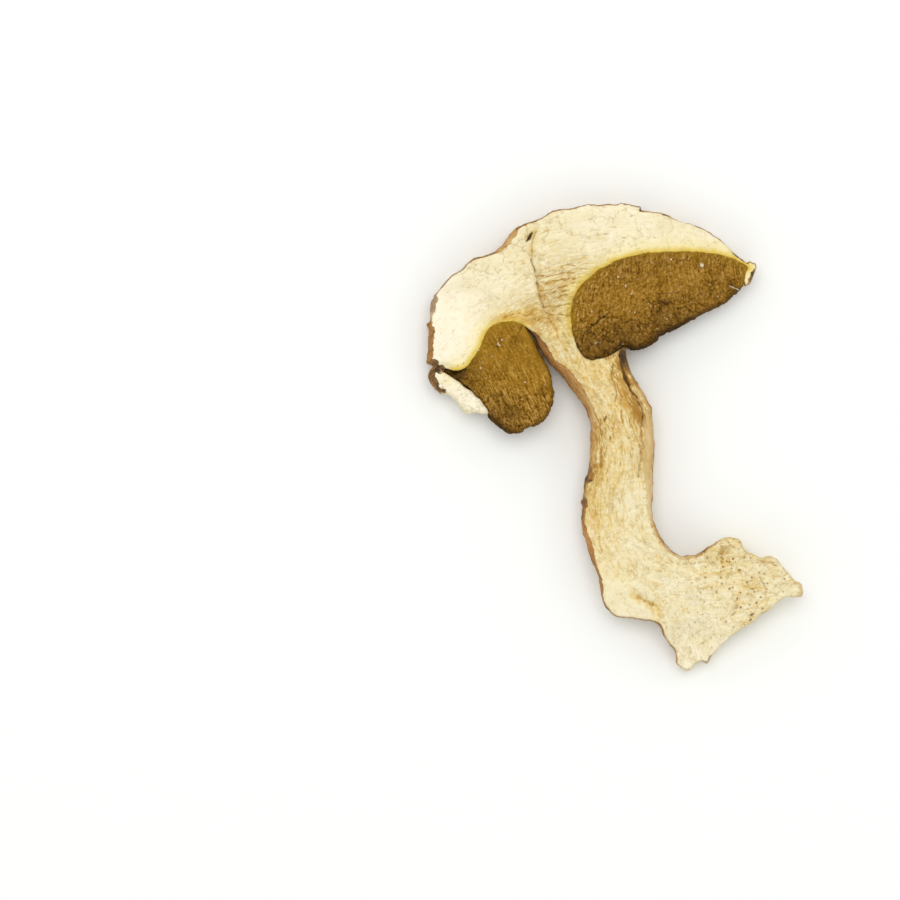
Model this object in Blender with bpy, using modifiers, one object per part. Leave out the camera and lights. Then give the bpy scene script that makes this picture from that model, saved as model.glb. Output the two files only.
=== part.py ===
"""One dried porcini slice, cut lengthwise through the cap and the stem and lying on its back face.

The pale flesh of cap and stem is one piece, and each half of the brown tube layer is another.
Sizes are in millimetres and the finished meshes in metres. Seen from above, with the cut face
up (+Z), the crown of the cap points along +Y and the torn foot turns towards +X. The origin is
on the surface that the slice lies on, under the middle of its outline.
"""

import bmesh
import bpy
import numpy as np
from mathutils import Matrix, Vector, noise

MM = 0.001
GAP = 0.32
SLAB_HALF = 2.0
GRID = 0.5
SPAN_STEPS = 5
TOUCHING = 0.04
# The middle of the slice in the coordinates of the tables below, which is moved to the origin.
MIDDLE = (-0.04, 0.145)

FLESH_TRIANGLES = 5600
LEFT_TUBE_TRIANGLES = 1700
RIGHT_TUBE_TRIANGLES = 2300

# Height of the back face above the surface that the slice lies on, at x, y.
LIFT_REACH = 5.5
LIFT = (
    (-22, 20, 0.4),
    (-27, 13, 0.9),
    (-24, 7, 1.5),
    (-14, 3, 2.4),
    (-15, 11, 1.7),
    (-17, 27, 0.9),
    (-8, 31, 1.0),
    (-6, 24, 1.1),
    (4, 32, 0.7),
    (12, 29, 0.5),
    (20, 25, 1.7),
    (8, 18, 1.9),
    (0, 15, 2.0),
    (-6, 12, 1.7),
    (1, 1, 1.5),
    (0, -10, 0.5),
    (1, -20, 1.2),
    (3, -26, 2.1),
    (9, -20, 1.0),
    (11, -32, 0.4),
    (17, -17, 1.9),
    (18, -26, 1.1),
    (27, -23, 3.0),
)

# The three places where the back face touches the surface: x, y and radius.
FEET = ((-22, 19.5, 1.8), (10, 29.9, 1.3), (11.5, -31.3, 1.2))
FOOT_SLOPE = 3.5
LOWEST_BETWEEN_FEET = 0.35

# Thickness of the slice between its two cut faces, at x, y.
THICKNESS_REACH = 5.0
THICKNESS = (
    (-26, 18, 3.7),
    (-18, 22, 4.3),
    (-23, 6, 2.6),
    (-15, 9, 4.2),
    (-8, 31, 4.1),
    (-8, 22, 4.6),
    (6, 31, 3.9),
    (6, 22, 4.3),
    (19, 25, 3.2),
    (-3, 12, 4.5),
    (1, 1, 4.8),
    (1, -12, 4.6),
    (4, -22, 4.3),
    (11, -25, 3.7),
    (11, -33, 2.9),
    (18, -17, 3.3),
    (20, -24, 3.3),
    (27, -23, 2.2),
)


def stretch(wall, *points):
    """Points of an outline that share the width of their rounded wall, as x, y, wall."""
    return [(x, y, wall) for x, y in points]


# The skin of the cap, from the lower left over the crown to the right tip. A repeated point is a corner.
CAP_SKIN = (
    stretch(0.9, (-28.3, 11.2), (-28.3, 11.2), (-28.05, 13.2), (-28.0, 16.0), (-27.75, 18.6), (-27.55, 20.5))
    + stretch(0.5, (-26.9, 21.7), (-25.0, 23.8), (-22.9, 25.4), (-21.3, 26.7))
    + stretch(1.0, (-19.6, 27.3), (-17.9, 28.1), (-16.8, 29.1), (-15.8, 30.5), (-14.7, 31.6))
    + stretch(0.5, (-13.3, 32.15), (-11.0, 33.0), (-9.3, 34.05), (-7.0, 34.35), (-4.4, 34.9), (-1.5, 35.0))
    + stretch(0.4, (0.8, 35.3), (2.4, 34.95), (3.75, 34.75), (3.75, 34.75), (3.9, 34.05), (3.9, 34.05))
    + stretch(0.4, (6.5, 33.8), (8.8, 32.95), (12.0, 31.85), (13.8, 31.1), (15.6, 29.8), (17.8, 27.7), (19.6, 26.35))
)
RIGHT_TIP = stretch(
    0.7, (20.3, 26.45), (21.0, 26.25), (21.25, 25.6), (21.0, 24.6), (20.5, 23.6), (19.9, 22.95), (19.4, 22.75)
)
# The line where each tube layer meets the flesh.
RIGHT_SEAM = stretch(
    0.3, (19.25, 23.7), (19.5, 24.8), (19.8, 25.5), (18.9, 26.25), (16.5, 27.15), (14.0, 27.65), (10.5, 27.85),
    (6.2, 27.7), (2.4, 27.2), (0.0, 26.35), (-2.6, 25.0), (-4.5, 23.4), (-5.9, 21.5), (-6.5, 19.5), (-6.65, 17.5),
    (-6.3, 15.6),
)  # fmt: skip
LEFT_SEAM = stretch(
    0.3, (-10.2, 11.3), (-11.4, 13.5), (-12.6, 15.6), (-13.9, 16.9), (-15.8, 17.35), (-17.9, 16.95), (-19.3, 15.7),
    (-20.1, 13.8), (-21.3, 12.0), (-22.6, 10.45), (-24.2, 10.1),
)  # fmt: skip
# The flesh goes on under the lobe of the right tubes, as the top of the stem.
UNDER_LOBE = stretch(0.6, (-5.4, 15.0), (-3.4, 15.7), (-1.2, 15.9), (0.5, 15.3), (1.4, 14.2))
STEM_RIGHT = (
    stretch(1.2, (1.65, 12.8), (2.1, 10.8), (3.2, 8.7), (4.5, 6.2), (5.4, 4.3))
    + stretch(1.7, (5.7, 1.5), (5.75, -2.0), (5.65, -6.5))
    + stretch(1.0, (5.55, -10.5), (5.8, -12.8), (6.7, -15.0), (8.3, -17.0))
)
FOOT = (
    stretch(1.1, (10.4, -17.9), (12.5, -17.5), (14.0, -16.5), (15.6, -15.35))
    + stretch(0.9, (17.0, -15.0), (18.5, -15.3), (19.3, -16.6), (20.8, -17.7), (23.3, -17.95), (24.6, -18.9))
    + stretch(0.8, (26.7, -21.3), (27.9, -22.3), (28.15, -22.95), (28.1, -23.85), (28.1, -23.85))
    + stretch(0.6, (26.0, -23.9), (24.2, -24.8), (21.0, -27.3), (18.5, -29.05), (16.2, -30.9), (14.7, -32.5))
    + stretch(0.5, (13.9, -33.75), (12.8, -33.6), (11.0, -35.0), (11.0, -35.0), (9.4, -34.15))
    + stretch(0.7, (9.1, -33.0), (8.9, -31.95), (7.6, -30.1), (6.8, -28.5), (5.5, -27.55), (2.6, -27.15), (0.7, -26.95))
)
STEM_LEFT = (
    stretch(0.7, (-1.0, -25.9), (-1.95, -24.5), (-2.15, -22.6), (-2.9, -20.0))
    + stretch(1.1, (-4.2, -16.5), (-5.0, -13.1), (-4.95, -11.0))
    + stretch(1.0, (-5.1, -9.75), (-4.6, -7.8), (-4.55, -6.7), (-3.95, -5.1))
    + stretch(1.3, (-3.8, -2.0), (-3.7, 1.3), (-4.1, 3.4))
    + stretch(1.9, (-5.4, 5.6), (-7.0, 8.0), (-8.6, 9.8), (-9.4, 10.5))
)
# The cap margin that curled round the end of the left tubes: a pale flap, with dark skin at its left end.
FLAP_ROOT = stretch(0.4, (-25.9, 10.25), (-26.2, 10.1))
FLAP_SEAM = stretch(0.5, (-25.0, 9.4), (-23.0, 7.95), (-21.0, 6.35), (-19.2, 4.1))
FLAP = (
    stretch(0.6, (-19.6, 3.5), (-20.75, 3.6), (-22.3, 3.6), (-23.0, 4.4), (-24.9, 6.25))
    + stretch(0.7, (-26.5, 6.85), (-27.6, 7.9), (-28.1, 9.3), (-27.65, 10.6))
)
RIGHT_LOBE = (
    stretch(1.0, (-6.0, 14.5), (-5.3, 12.9), (-3.8, 11.7), (-1.9, 11.95), (-0.3, 12.6), (1.2, 13.5), (1.2, 13.5))
    + stretch(2.2, (3.0, 13.1), (4.6, 13.5), (6.2, 14.5), (6.2, 14.5), (7.2, 15.55), (9.0, 16.25), (12.7, 18.2))
    + stretch(1.3, (16.1, 20.0), (18.9, 22.0))
)
LEFT_LOBE = (
    stretch(0.8, (-19.0, 3.2), (-17.1, 1.3), (-15.6, 0.55))
    + stretch(1.0, (-14.0, 0.95), (-12.2, 1.75), (-10.9, 2.4), (-9.8, 4.2), (-9.35, 6.6), (-9.6, 8.8))
)

# Folds of the front face: centre line, depth (below zero is a ridge) and width.
FOLDS = (
    (((-12.6, 31.6), (-12.7, 28.5), (-12.0, 25.0), (-11.3, 21.5), (-10.3, 18.4)), 0.55, 0.6),
    (((1.2, 13.0), (1.6, 9.5), (2.7, 6.3), (4.1, 3.4), (3.9, 0.0), (3.6, -4.5)), 0.75, 0.7),
    (((-2.6, 5.0), (-2.5, 0.5), (-2.9, -5.0)), 0.35, 0.5),
    (((2.9, -23.6), (4.4, -24.6), (6.2, -26.0)), 0.5, 0.6),
    (((8.2, -18.2), (10.5, -19.1), (13.5, -18.9)), 0.4, 0.8),
    (((16.2, -16.0), (15.9, -17.4), (16.4, -18.6)), 0.5, 0.5),
    (((20.9, -18.8), (22.6, -18.7), (24.4, -19.4)), 0.45, 0.5),
    (((16.6, -27.6), (19.6, -25.6), (23.4, -22.9), (26.8, -22.2)), -0.3, 1.6),
    (((14.6, -17.2), (16.9, -16.1), (18.5, -16.6), (19.8, -18.2), (22.9, -18.9), (25.6, -21.2)), -0.45, 0.7),
    (((-9.8, 33.0), (-6.0, 32.8), (-1.0, 33.3), (4.0, 32.9), (9.0, 31.6)), -0.2, 1.0),
    (((-18.6, 26.2), (-16.6, 27.0), (-15.2, 28.8), (-14.2, 30.4)), -0.3, 0.9),
    (((-12.9, 15.9), (-11.6, 13.8), (-9.6, 11.2), (-7.4, 8.6), (-5.2, 5.9)), 0.3, 0.8),
    (((-6.4, 14.0), (-4.2, 10.0), (-1.6, 5.0), (-0.6, 1.0), (-0.8, -5.0)), -0.3, 1.3),
    (((4.7, 4.6), (5.0, 1.0), (4.9, -5.0)), -0.35, 0.5),
    (((-26.4, 8.7), (-25.6, 8.2), (-23.5, 6.3), (-21.4, 4.6)), -0.35, 1.0),
    (((-27.3, 10.6), (-26.3, 10.7), (-25.0, 10.5)), 0.5, 0.35),
)


def spline(points, closed):
    """A Catmull-Rom curve through the points, sampled SPAN_STEPS times between each two."""
    p = np.array(points, float)
    ends = [p[-1:], p, p[:2]] if closed else [p[:1], p, p[-1:]]
    q = np.concatenate(ends)
    t = (np.arange(SPAN_STEPS) / SPAN_STEPS)[:, None]
    runs = []
    for a, b, c, d in zip(q, q[1:], q[2:], q[3:]):
        if np.allclose(b[:2], c[:2]):
            continue
        run = b + t / 2 * (c - a + t * (2 * a - 5 * b + 4 * c - d + t * (3 * (b - c) + d - a)))
        runs.append(run)
    if not closed:
        runs.append(p[-1:])
    return np.concatenate(runs)


def beside(seam):
    """The line of a seam moved off the flesh, to the left of the way that it runs, by the gap."""
    path = spline(seam, False)
    run = np.gradient(path[:, :2], axis=0)
    run /= np.linalg.norm(run, axis=1)[:, None]
    path[:, :2] += GAP * np.c_[-run[:, 1], run[:, 0]]
    return path


def nearest(xy, path, closed):
    """Distance from each point to the path, and the path's further columns at the nearest place."""
    a = path if closed else path[:-1]
    b = np.roll(path, -1, axis=0) if closed else path[1:]
    along = b[:, :2] - a[:, :2]
    length2 = np.maximum((along**2).sum(1), 1e-12)
    found = []
    for some in np.array_split(xy, max(1, len(xy) // 1000)):
        to = some[:, None, :] - a[None, :, :2]
        t = np.clip((to * along).sum(2) / length2, 0, 1)
        d = np.linalg.norm(to - t[:, :, None] * along, axis=2)
        i = d.argmin(1)
        pick = np.arange(len(some)), i
        more = a[i, 2:] + t[pick][:, None] * (b[i, 2:] - a[i, 2:])
        found.append(np.c_[d[pick], more])
    return np.concatenate(found)


def inside(xy, loop):
    """Whether each point lies inside the closed loop, by counting the edges it would cross."""
    x, y = xy[:, :1], xy[:, 1:2]
    ax, ay = loop[:, 0], loop[:, 1]
    bx, by = np.roll(ax, -1), np.roll(ay, -1)
    spans = (ay > y) != (by > y)
    rise = np.where(by == ay, 1.0, by - ay)
    crossed = spans & (x < (bx - ax) * (y - ay) / rise + ax)
    return crossed.sum(1) % 2 == 1


def blended(places, reach, xy):
    """A smooth value over x, y from a few places with known values."""
    known = np.array(places, float)
    away = ((xy[:, None, :] - known[None, :, :2]) ** 2).sum(2)
    weight = np.exp(-away / (2 * reach**2)) + 1e-9
    return (weight * known[:, 2]).sum(1) / weight.sum(1)


def ramp(value, start, end):
    """0 before start, 1 after end, and smooth between."""
    t = np.clip((value - start) / (end - start), 0, 1)
    return t * t * (3 - 2 * t)


def waves(xy, size, seed):
    """Smooth unevenness of about -1 to 1 with bumps of this size."""
    return np.array([noise.noise(Vector((x / size, y / size, seed))) for x, y in xy])


def folds(xy):
    """How far the folds lower the front face."""
    lowered = np.zeros(len(xy))
    for points, depth, width in FOLDS:
        away = nearest(xy, spline(points, False), False)[:, 0]
        lowered += depth * np.exp(-((away / width) ** 2))
    return lowered


def knee_facet(xy):
    """The smooth slope at the outside of the bend, which falls away from the front face."""
    beyond = (xy @ np.array((-0.55, -0.83))) - 18.2
    return 0.32 * np.clip(beyond, 0, 4) * ramp(xy[:, 0], 7.5, 3.5) * ramp(xy[:, 1], -16, -19)


def cut_faces(xy):
    """Heights of the back and the front face of the slice, as if it had no edges."""
    back = blended(LIFT, LIFT_REACH, xy) + 0.18 * waves(xy, 5.0, 3.7)
    back = np.maximum(back, LOWEST_BETWEEN_FEET)
    for x, y, radius in FEET:
        away = np.hypot(xy[:, 0] - x, xy[:, 1] - y)
        share = ramp(-away, -radius - FOOT_SLOPE, -radius)
        back = back * (1 - share) - 0.3 * share
    thick = blended(THICKNESS, THICKNESS_REACH, xy)
    front = back + thick - folds(xy) - knee_facet(xy) + 0.22 * waves(xy, 4.0, 9.1)
    return back, front


def under_lobe(xy):
    """1 where the top of the stem lies under the lobe of the right tubes, and 0 where it is bare."""
    loop = spline(RIGHT_LOBE + RIGHT_SEAM, True)
    depth = np.where(inside(xy, loop), 1, -1) * nearest(xy, loop, True)[:, 0]
    return ramp(depth, -0.9, -0.1) * ramp(xy[:, 0], -6.6, -5.4) * ramp(-xy[:, 1], -16.8, -15.8)


def flesh_faces(xy):
    back, front = cut_faces(xy)
    return back, front - 2.3 * under_lobe(xy)


def tube_faces(xy, flesh_loop, recess=0.35):
    """The tubes dried a little lower than the flesh, and rise over the top of the stem."""
    back, front = cut_faces(xy)
    stem_back, stem_front = flesh_faces(xy)
    outside = np.where(inside(xy, flesh_loop), 0, nearest(xy, flesh_loop, True)[:, 0])
    over = ramp(-outside, -0.9, -0.3) * ramp(xy[:, 0], -7.2, -6.4) * ramp(-xy[:, 1], -17.6, -16.8)
    over = over * ramp(-xy[:, 0], -2.6, -2.2)
    return back + (stem_front + GAP - back) * over + 0.2 * (1 - over), front - recess


def rounded(distance, wall):
    """Share of the full height that a rounded edge has reached at this distance from the rim."""
    t = np.clip(1 - distance / wall, 0, 1)
    return np.sqrt(1 - t * t)


def slab(name, loop):
    """The outline as a flat plate with an even grid of vertices."""
    curve = bpy.data.curves.new(name, "CURVE")
    curve.dimensions = "2D"
    curve.fill_mode = "BOTH"
    curve.extrude = SLAB_HALF * MM
    line = curve.splines.new("POLY")
    line.points.add(len(loop) - 1)
    line.use_cyclic_u = True
    for point, (x, y, _) in zip(line.points, loop):
        point.co = (x * MM, y * MM, 0, 1)
    source = bpy.data.objects.new(name, curve)
    bpy.context.scene.collection.objects.link(source)
    plate = evaluated_mesh(source)
    bpy.data.objects.remove(source)

    shell = bmesh.new()
    shell.from_mesh(plate)
    bmesh.ops.remove_doubles(shell, verts=shell.verts, dist=0.00001)
    bmesh.ops.recalc_face_normals(shell, faces=shell.faces)
    shell.to_mesh(plate)
    shell.free()

    welded = bpy.data.objects.new(name, plate)
    bpy.context.scene.collection.objects.link(welded)
    grid = welded.modifiers.new("even_grid", "REMESH")
    grid.mode = "VOXEL"
    grid.voxel_size = GRID * MM
    even = evaluated_mesh(welded)
    bpy.data.objects.remove(welded)
    return even


def evaluated_mesh(obj):
    bpy.context.view_layer.update()
    graph = bpy.context.evaluated_depsgraph_get()
    return bpy.data.meshes.new_from_object(obj.evaluated_get(graph))


def shape(mesh, loop, faces_at):
    """Moves the plate's vertices on to the two cut faces and the rounded wall between them."""
    co = np.empty(len(mesh.vertices) * 3)
    mesh.vertices.foreach_get("co", co)
    co = co.reshape(-1, 3) / MM
    xy = co[:, :2]
    level = np.clip(co[:, 2] / SLAB_HALF, -1, 1) / 2 + 0.5
    distance, wall = nearest(xy, loop, True).T
    back, front = faces_at(xy)
    thick = front - back
    drop = np.clip(0.12 + 0.3 * wall, 0.2, 0.65)
    front = front - drop * thick * (1 - rounded(distance, wall))
    back = back + 0.5 * drop * thick * (1 - rounded(distance, 0.7 * wall))
    co[:, 2] = back + level * (front - back)
    mesh.vertices.foreach_set("co", (co * MM).ravel())
    mesh.update()
    rest_on_surface(mesh)


def rest_on_surface(mesh):
    """Flattens what reaches the surface that the slice lies on, or very nearly does."""
    for vertex in mesh.vertices:
        if vertex.co.z < TOUCHING * MM:
            vertex.co.z = 0
    mesh.update()


def principled(name, colour, roughness):
    material = bpy.data.materials.new(name)
    material.use_nodes = True
    shader = material.node_tree.nodes["Principled BSDF"]
    shader.inputs["Base Color"].default_value = (*colour, 1)
    shader.inputs["Roughness"].default_value = roughness
    shader.inputs["Metallic"].default_value = 0
    return material


def piece(name, loop, faces_at, triangles, material, collection):
    fine = slab(name, loop)
    shape(fine, loop, faces_at)
    fine.calc_loop_triangles()
    dense = bpy.data.objects.new(name, fine)
    bpy.context.scene.collection.objects.link(dense)
    thin = dense.modifiers.new("fewer_faces", "DECIMATE")
    thin.ratio = triangles / len(fine.loop_triangles)
    mesh = evaluated_mesh(dense)
    bpy.data.objects.remove(dense)
    rest_on_surface(mesh)
    mesh.transform(Matrix.Translation((-MIDDLE[0] * MM, -MIDDLE[1] * MM, 0)))

    mesh.name = name
    mesh.materials.clear()
    mesh.materials.append(material)
    mesh.shade_smooth()
    obj = bpy.data.objects.new(name, mesh)
    collection.objects.link(obj)
    return obj


def main():
    for obj in list(bpy.data.objects):
        bpy.data.objects.remove(obj)
    collection = bpy.data.collections.new("dried_porcini_slice")
    bpy.context.scene.collection.children.link(collection)

    right_of_seams = RIGHT_TIP + RIGHT_SEAM + UNDER_LOBE + STEM_RIGHT + FOOT
    left_of_seams = STEM_LEFT + LEFT_SEAM + FLAP_ROOT + FLAP_SEAM + FLAP
    flesh_loop = spline(CAP_SKIN + right_of_seams + left_of_seams, True)
    right_loop = np.concatenate((beside(RIGHT_SEAM), spline(RIGHT_LOBE, False)))
    left_loop = np.concatenate((beside(LEFT_SEAM), beside(FLAP_SEAM), spline(LEFT_LOBE, False)))

    flesh = principled("flesh", (0.87, 0.76, 0.52), 0.85)
    tubes = principled("tubes", (0.31, 0.15, 0.025), 0.9)
    piece("cap_and_stem", flesh_loop, flesh_faces, FLESH_TRIANGLES, flesh, collection)
    piece("tubes_left", left_loop, lambda xy: tube_faces(xy, flesh_loop), LEFT_TUBE_TRIANGLES, tubes, collection)
    piece("tubes_right", right_loop, lambda xy: tube_faces(xy, flesh_loop), RIGHT_TUBE_TRIANGLES, tubes, collection)


main()
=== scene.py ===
"""Looks of one dried porcini slice that lies on its back face, seen from straight above.

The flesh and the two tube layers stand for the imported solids. All tables are in millimetres, in
the same coordinates as the source of the solids: the crown of the cap points along +Y and the
torn foot turns towards +X. Objects are in metres, with the middle of the slice at the origin.
"""

import bmesh
import bpy
import numpy as np
from bpy.props import FloatProperty, FloatVectorProperty, PointerProperty
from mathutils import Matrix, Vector, kdtree


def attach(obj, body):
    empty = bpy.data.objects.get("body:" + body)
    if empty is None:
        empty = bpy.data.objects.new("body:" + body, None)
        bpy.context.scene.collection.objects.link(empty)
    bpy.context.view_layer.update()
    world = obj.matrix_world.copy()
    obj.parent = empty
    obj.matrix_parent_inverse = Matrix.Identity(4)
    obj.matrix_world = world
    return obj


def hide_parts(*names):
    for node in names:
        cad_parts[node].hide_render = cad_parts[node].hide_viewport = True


bl_info = {
    "name": "Dried porcini slice",
    "version": (1, 0, 0),
    "blender": (4, 5, 0),
    "location": "3D View > Sidebar > Porcini",
    "description": "Builds the flesh and the tube layers of one dried porcini slice, and its table",
    "category": "Add Mesh",
}

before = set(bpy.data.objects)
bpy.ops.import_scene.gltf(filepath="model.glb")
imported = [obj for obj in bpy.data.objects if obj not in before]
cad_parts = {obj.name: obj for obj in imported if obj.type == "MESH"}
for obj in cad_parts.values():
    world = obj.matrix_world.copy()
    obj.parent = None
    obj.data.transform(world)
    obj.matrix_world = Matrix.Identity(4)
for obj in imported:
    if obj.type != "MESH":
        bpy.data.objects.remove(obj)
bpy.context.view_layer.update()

MM = 0.001
# The middle of the slice in the coordinates of the tables, which is moved to the origin.
MIDDLE = (-0.04, 0.145)
# The photograph's side and the tables' zero in it, both in pixels, and what a pixel covers at the cut face.
PHOTO_SIDE = 900
ZERO_PIXEL = (615.5, 437.5)
PIXEL = 0.15
# Height of the cut face above the table, about its mean.
CUT_FACE = 4.6
# Half the height of the flat plate that each piece starts from.
SLAB_HALF = 1.0
# How many steps a curve takes from each of its points to the next.
SPAN_STEPS = 7
# How far the outlines wander to and fro, and over what length, so that rims and seams are ragged.
RAGGED = 0.14
RAGGED_LENGTH = 1.1


def srgb(red, green, blue):
    """A colour given as 0 to 255 in sRGB, as the linear values that Blender uses."""
    shares = np.array((red, green, blue)) / 255
    linear = np.where(shares <= 0.04045, shares / 12.92, ((shares + 0.055) / 1.055) ** 2.4)
    return tuple(float(v) for v in linear)


# Height of the back face above the table, at x, y.
LIFT_REACH = 5.5
LIFT = (
    (-22, 20, 0.4), (-27, 13, 0.9), (-24, 7, 1.5), (-14, 3, 2.4), (-15, 11, 1.7), (-17, 27, 0.9),
    (-8, 31, 1), (-6, 24, 1.1), (4, 32, 0.7), (12, 29, 0.5), (20, 25, 1.7), (8, 18, 1.9), (0, 15, 2),
    (-6, 12, 1.7), (1, 1, 1.5), (0, -10, 0.5), (1, -20, 1.2), (3, -26, 2.1), (9, -20, 1), (11, -32, 0.4),
    (17, -17, 1.9), (18, -26, 1.1), (27, -23, 3),
)  # fmt: skip
# The three places where the back face touches the table: x, y and radius.
FEET = ((-22, 19.5, 1.8), (10, 29.9, 1.3), (11.5, -31.3, 1.2))
# How wide the slope around each is, and how far it would dip into the table, which cuts it flat.
FOOT_SLOPE = 3.5
FOOT_DIP = 0.3
LOWEST_BETWEEN_FEET = 0.35
# Thickness of the slice between its two cut faces, at x, y.
THICKNESS_REACH = 5.0
THICKNESS = (
    (-26, 18, 3.7), (-18, 22, 4.3), (-23, 6, 2.6), (-15, 9, 4.2), (-8, 31, 4.1), (-8, 22, 4.6),
    (6, 31, 3.9), (6, 22, 4.3), (19, 25, 3.2), (-3, 12, 4.5), (1, 1, 4.8), (1, -12, 4.6), (4, -22, 4.3),
    (11, -25, 3.7), (11, -33, 2.9), (18, -17, 3.3), (20, -24, 3.3), (27, -23, 2.2),
)  # fmt: skip


def rim(wall, skin, reach, tone, *points):
    """Points of an outline, each with the width of the rounded wall and three values of its skin.

    These are the share of skin, how far in it reaches, and how dark it is.
    """
    return [(x, y, wall, skin, reach, tone) for x, y in points]


# Every outline runs clockwise as seen from above. A repeated point is a corner.
# The skin of the cap, from its left end over the crown to the right.
CAP_SKIN = (
    rim(0.9, 1, 0.8, 0.55, (-28.35, 11.25), (-28.35, 11.25), (-28.15, 13.2), (-27.95, 15.2), (-28, 16.4))
    + rim(0.6, 1, 0.5, 0.6, (-28.35, 16.95), (-28.3, 17.2), (-27.95, 17.25))
    + rim(0.5, 0.4, 0.15, 0.5, (-27.75, 17.9))
    + rim(0.7, 0.8, 0.75, 0.62, (-27.75, 18.8), (-27.7, 20.1), (-27.3, 21.1))
    + rim(0.5, 0.7, 0.16, 0.8, (-26.8, 21.75), (-25, 23.8), (-23.9, 24.75), (-22.9, 25.35), (-22.3, 26.1))
    + rim(0.6, 0.9, 0.2, 0.75, (-21.3, 26.75), (-19.6, 27.3), (-18.4, 27.75))
    + rim(1, 1, 0.65, 0.1, (-17.6, 28.3), (-16.8, 29.1))
    + rim(1, 1, 0.8, 0.05, (-16.2, 29.95), (-15.4, 30.95))
    + rim(0.6, 1, 0.28, 0.5, (-14.6, 31.65), (-13.3, 32.15), (-12.2, 32.5))
    + rim(0.4, 0.8, 0.15, 0.6, (-11, 33), (-9.8, 33.7), (-8.8, 34.2), (-7.2, 34.3), (-6, 34.5), (-4.4, 34.9))
    + rim(0.4, 0.8, 0.14, 0.6, (-3.4, 34.95), (-1.5, 34.95), (0, 35.1), (0.8, 35.3), (2, 35), (3, 34.8))
    + rim(0.3, 1, 0.2, 0.8, (3.78, 34.78), (3.78, 34.78), (3.9, 34.05), (3.9, 34.05))
    + rim(0.4, 0.7, 0.12, 0.6, (5.3, 33.95), (6.5, 33.8))
    + rim(0.4, 1, 0.25, 0.9, (7, 33.7), (7.7, 33.5))
    + rim(0.4, 0.1, 0.1, 0.5, (8.8, 32.95), (10, 32.4), (11.4, 32))
    + rim(0.4, 0.8, 0.16, 0.7, (12.4, 31.7), (13.8, 31.1), (15.4, 30))
    + rim(0.4, 0.2, 0.1, 0.5, (16.4, 29.1), (17.3, 28.2))
    + rim(0.4, 1, 0.24, 1, (18, 27.5), (18.9, 26.9), (19.7, 26.25))
)
# The pale tip where the cap margin curls at the right.
RIGHT_TIP = (
    rim(0.4, 0.6, 0.2, 0.8, (20.2, 26.55), (20.6, 26.3))
    + rim(0.7, 0.7, 0.25, 0.8, (21, 26.35), (21.25, 25.8), (21.2, 25.2))
    + rim(0.7, 1, 0.5, 0.9, (20.95, 24.5), (20.5, 23.6))
    + rim(0.5, 0.3, 0.2, 0.5, (19.95, 23.05), (19.5, 22.85))
)
# The lines where the tube layers meet the flesh. The first part of the left one is the rind of the stem.
RIGHT_SEAM = rim(
    0.05, 0, -1, 0, (19.3, 23.7), (19.5, 24.8), (19.8, 25.5), (18.9, 26.25), (16.5, 27.15), (14, 27.65),
    (10.5, 27.85), (6.2, 27.7), (2.4, 27.2), (0, 26.35), (-2.6, 25), (-4.5, 23.4), (-5.9, 21.5),
    (-6.5, 19.5), (-6.65, 17.5), (-6.3, 15.6),
)  # fmt: skip
LEFT_SEAM = (
    rim(1.5, 1, 1.05, 0.45, (-10.2, 11.3), (-11.4, 13.5))
    + rim(0.8, 1, 0.35, 0.6, (-12.5, 15.5))
    + rim(0.05, 0, -0.6, 0.3, (-13.9, 16.9), (-15.8, 17.35), (-17.9, 16.95), (-19.3, 15.7), (-20.1, 13.8))
    + rim(0.05, 0, -0.6, 0.3, (-21.3, 12), (-22.6, 10.45), (-24.2, 10.1))
)
# How far off a seam a tube layer starts. It overlaps bare flesh a little, and keeps off rind and flap.
SEAM_GAP = -0.1
RIND_GAP = 0.4
FLAP_GAP = 0.03
# The rim of the right tubes that lies on the top of the stem.
LOBE_ON_STEM = rim(0, 0, 0, 0, (-6.1, 14.6), (-4.8, 12.3), (-2.4, 11.9), (-0.6, 12.5))
# The top of the stem runs on a little under the lobe of the right tubes, and is lowered there.
UNDER_LOBE = rim(0.6, 0, -1, 0, (-5.4, 15), (-3.4, 15.7), (-1.2, 15.9), (0.5, 15.3), (1.4, 14.2))
LOWERED_UNDER_LOBE = 2.3
# The right side of the stem, down to the inside of the bend.
STEM_RIGHT = (
    rim(1, 0.9, 1, 0.9, (1.5, 12.8), (1.8, 11.2))
    + rim(1, 0.7, 0.5, 0.55, (2.25, 9.9), (2.95, 8.7))
    + rim(1.1, 0.8, 0.6, 0.1, (3.7, 7.5), (4.4, 6.2), (5.05, 5), (5.4, 4.3))
    + rim(1.5, 0.7, 1.5, -0.1, (5.6, 2.6), (5.75, 0), (5.75, -3), (5.65, -6.5))
    + rim(1, 0.6, 0.8, -0.1, (5.6, -9), (5.55, -11))
    + rim(0.8, 0.8, 0.35, 0.15, (5.8, -12.8), (6.4, -14.4), (7.1, -15.6))
    + rim(0.9, 0.3, 0.5, 0.3, (8.3, -17))
)
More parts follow.
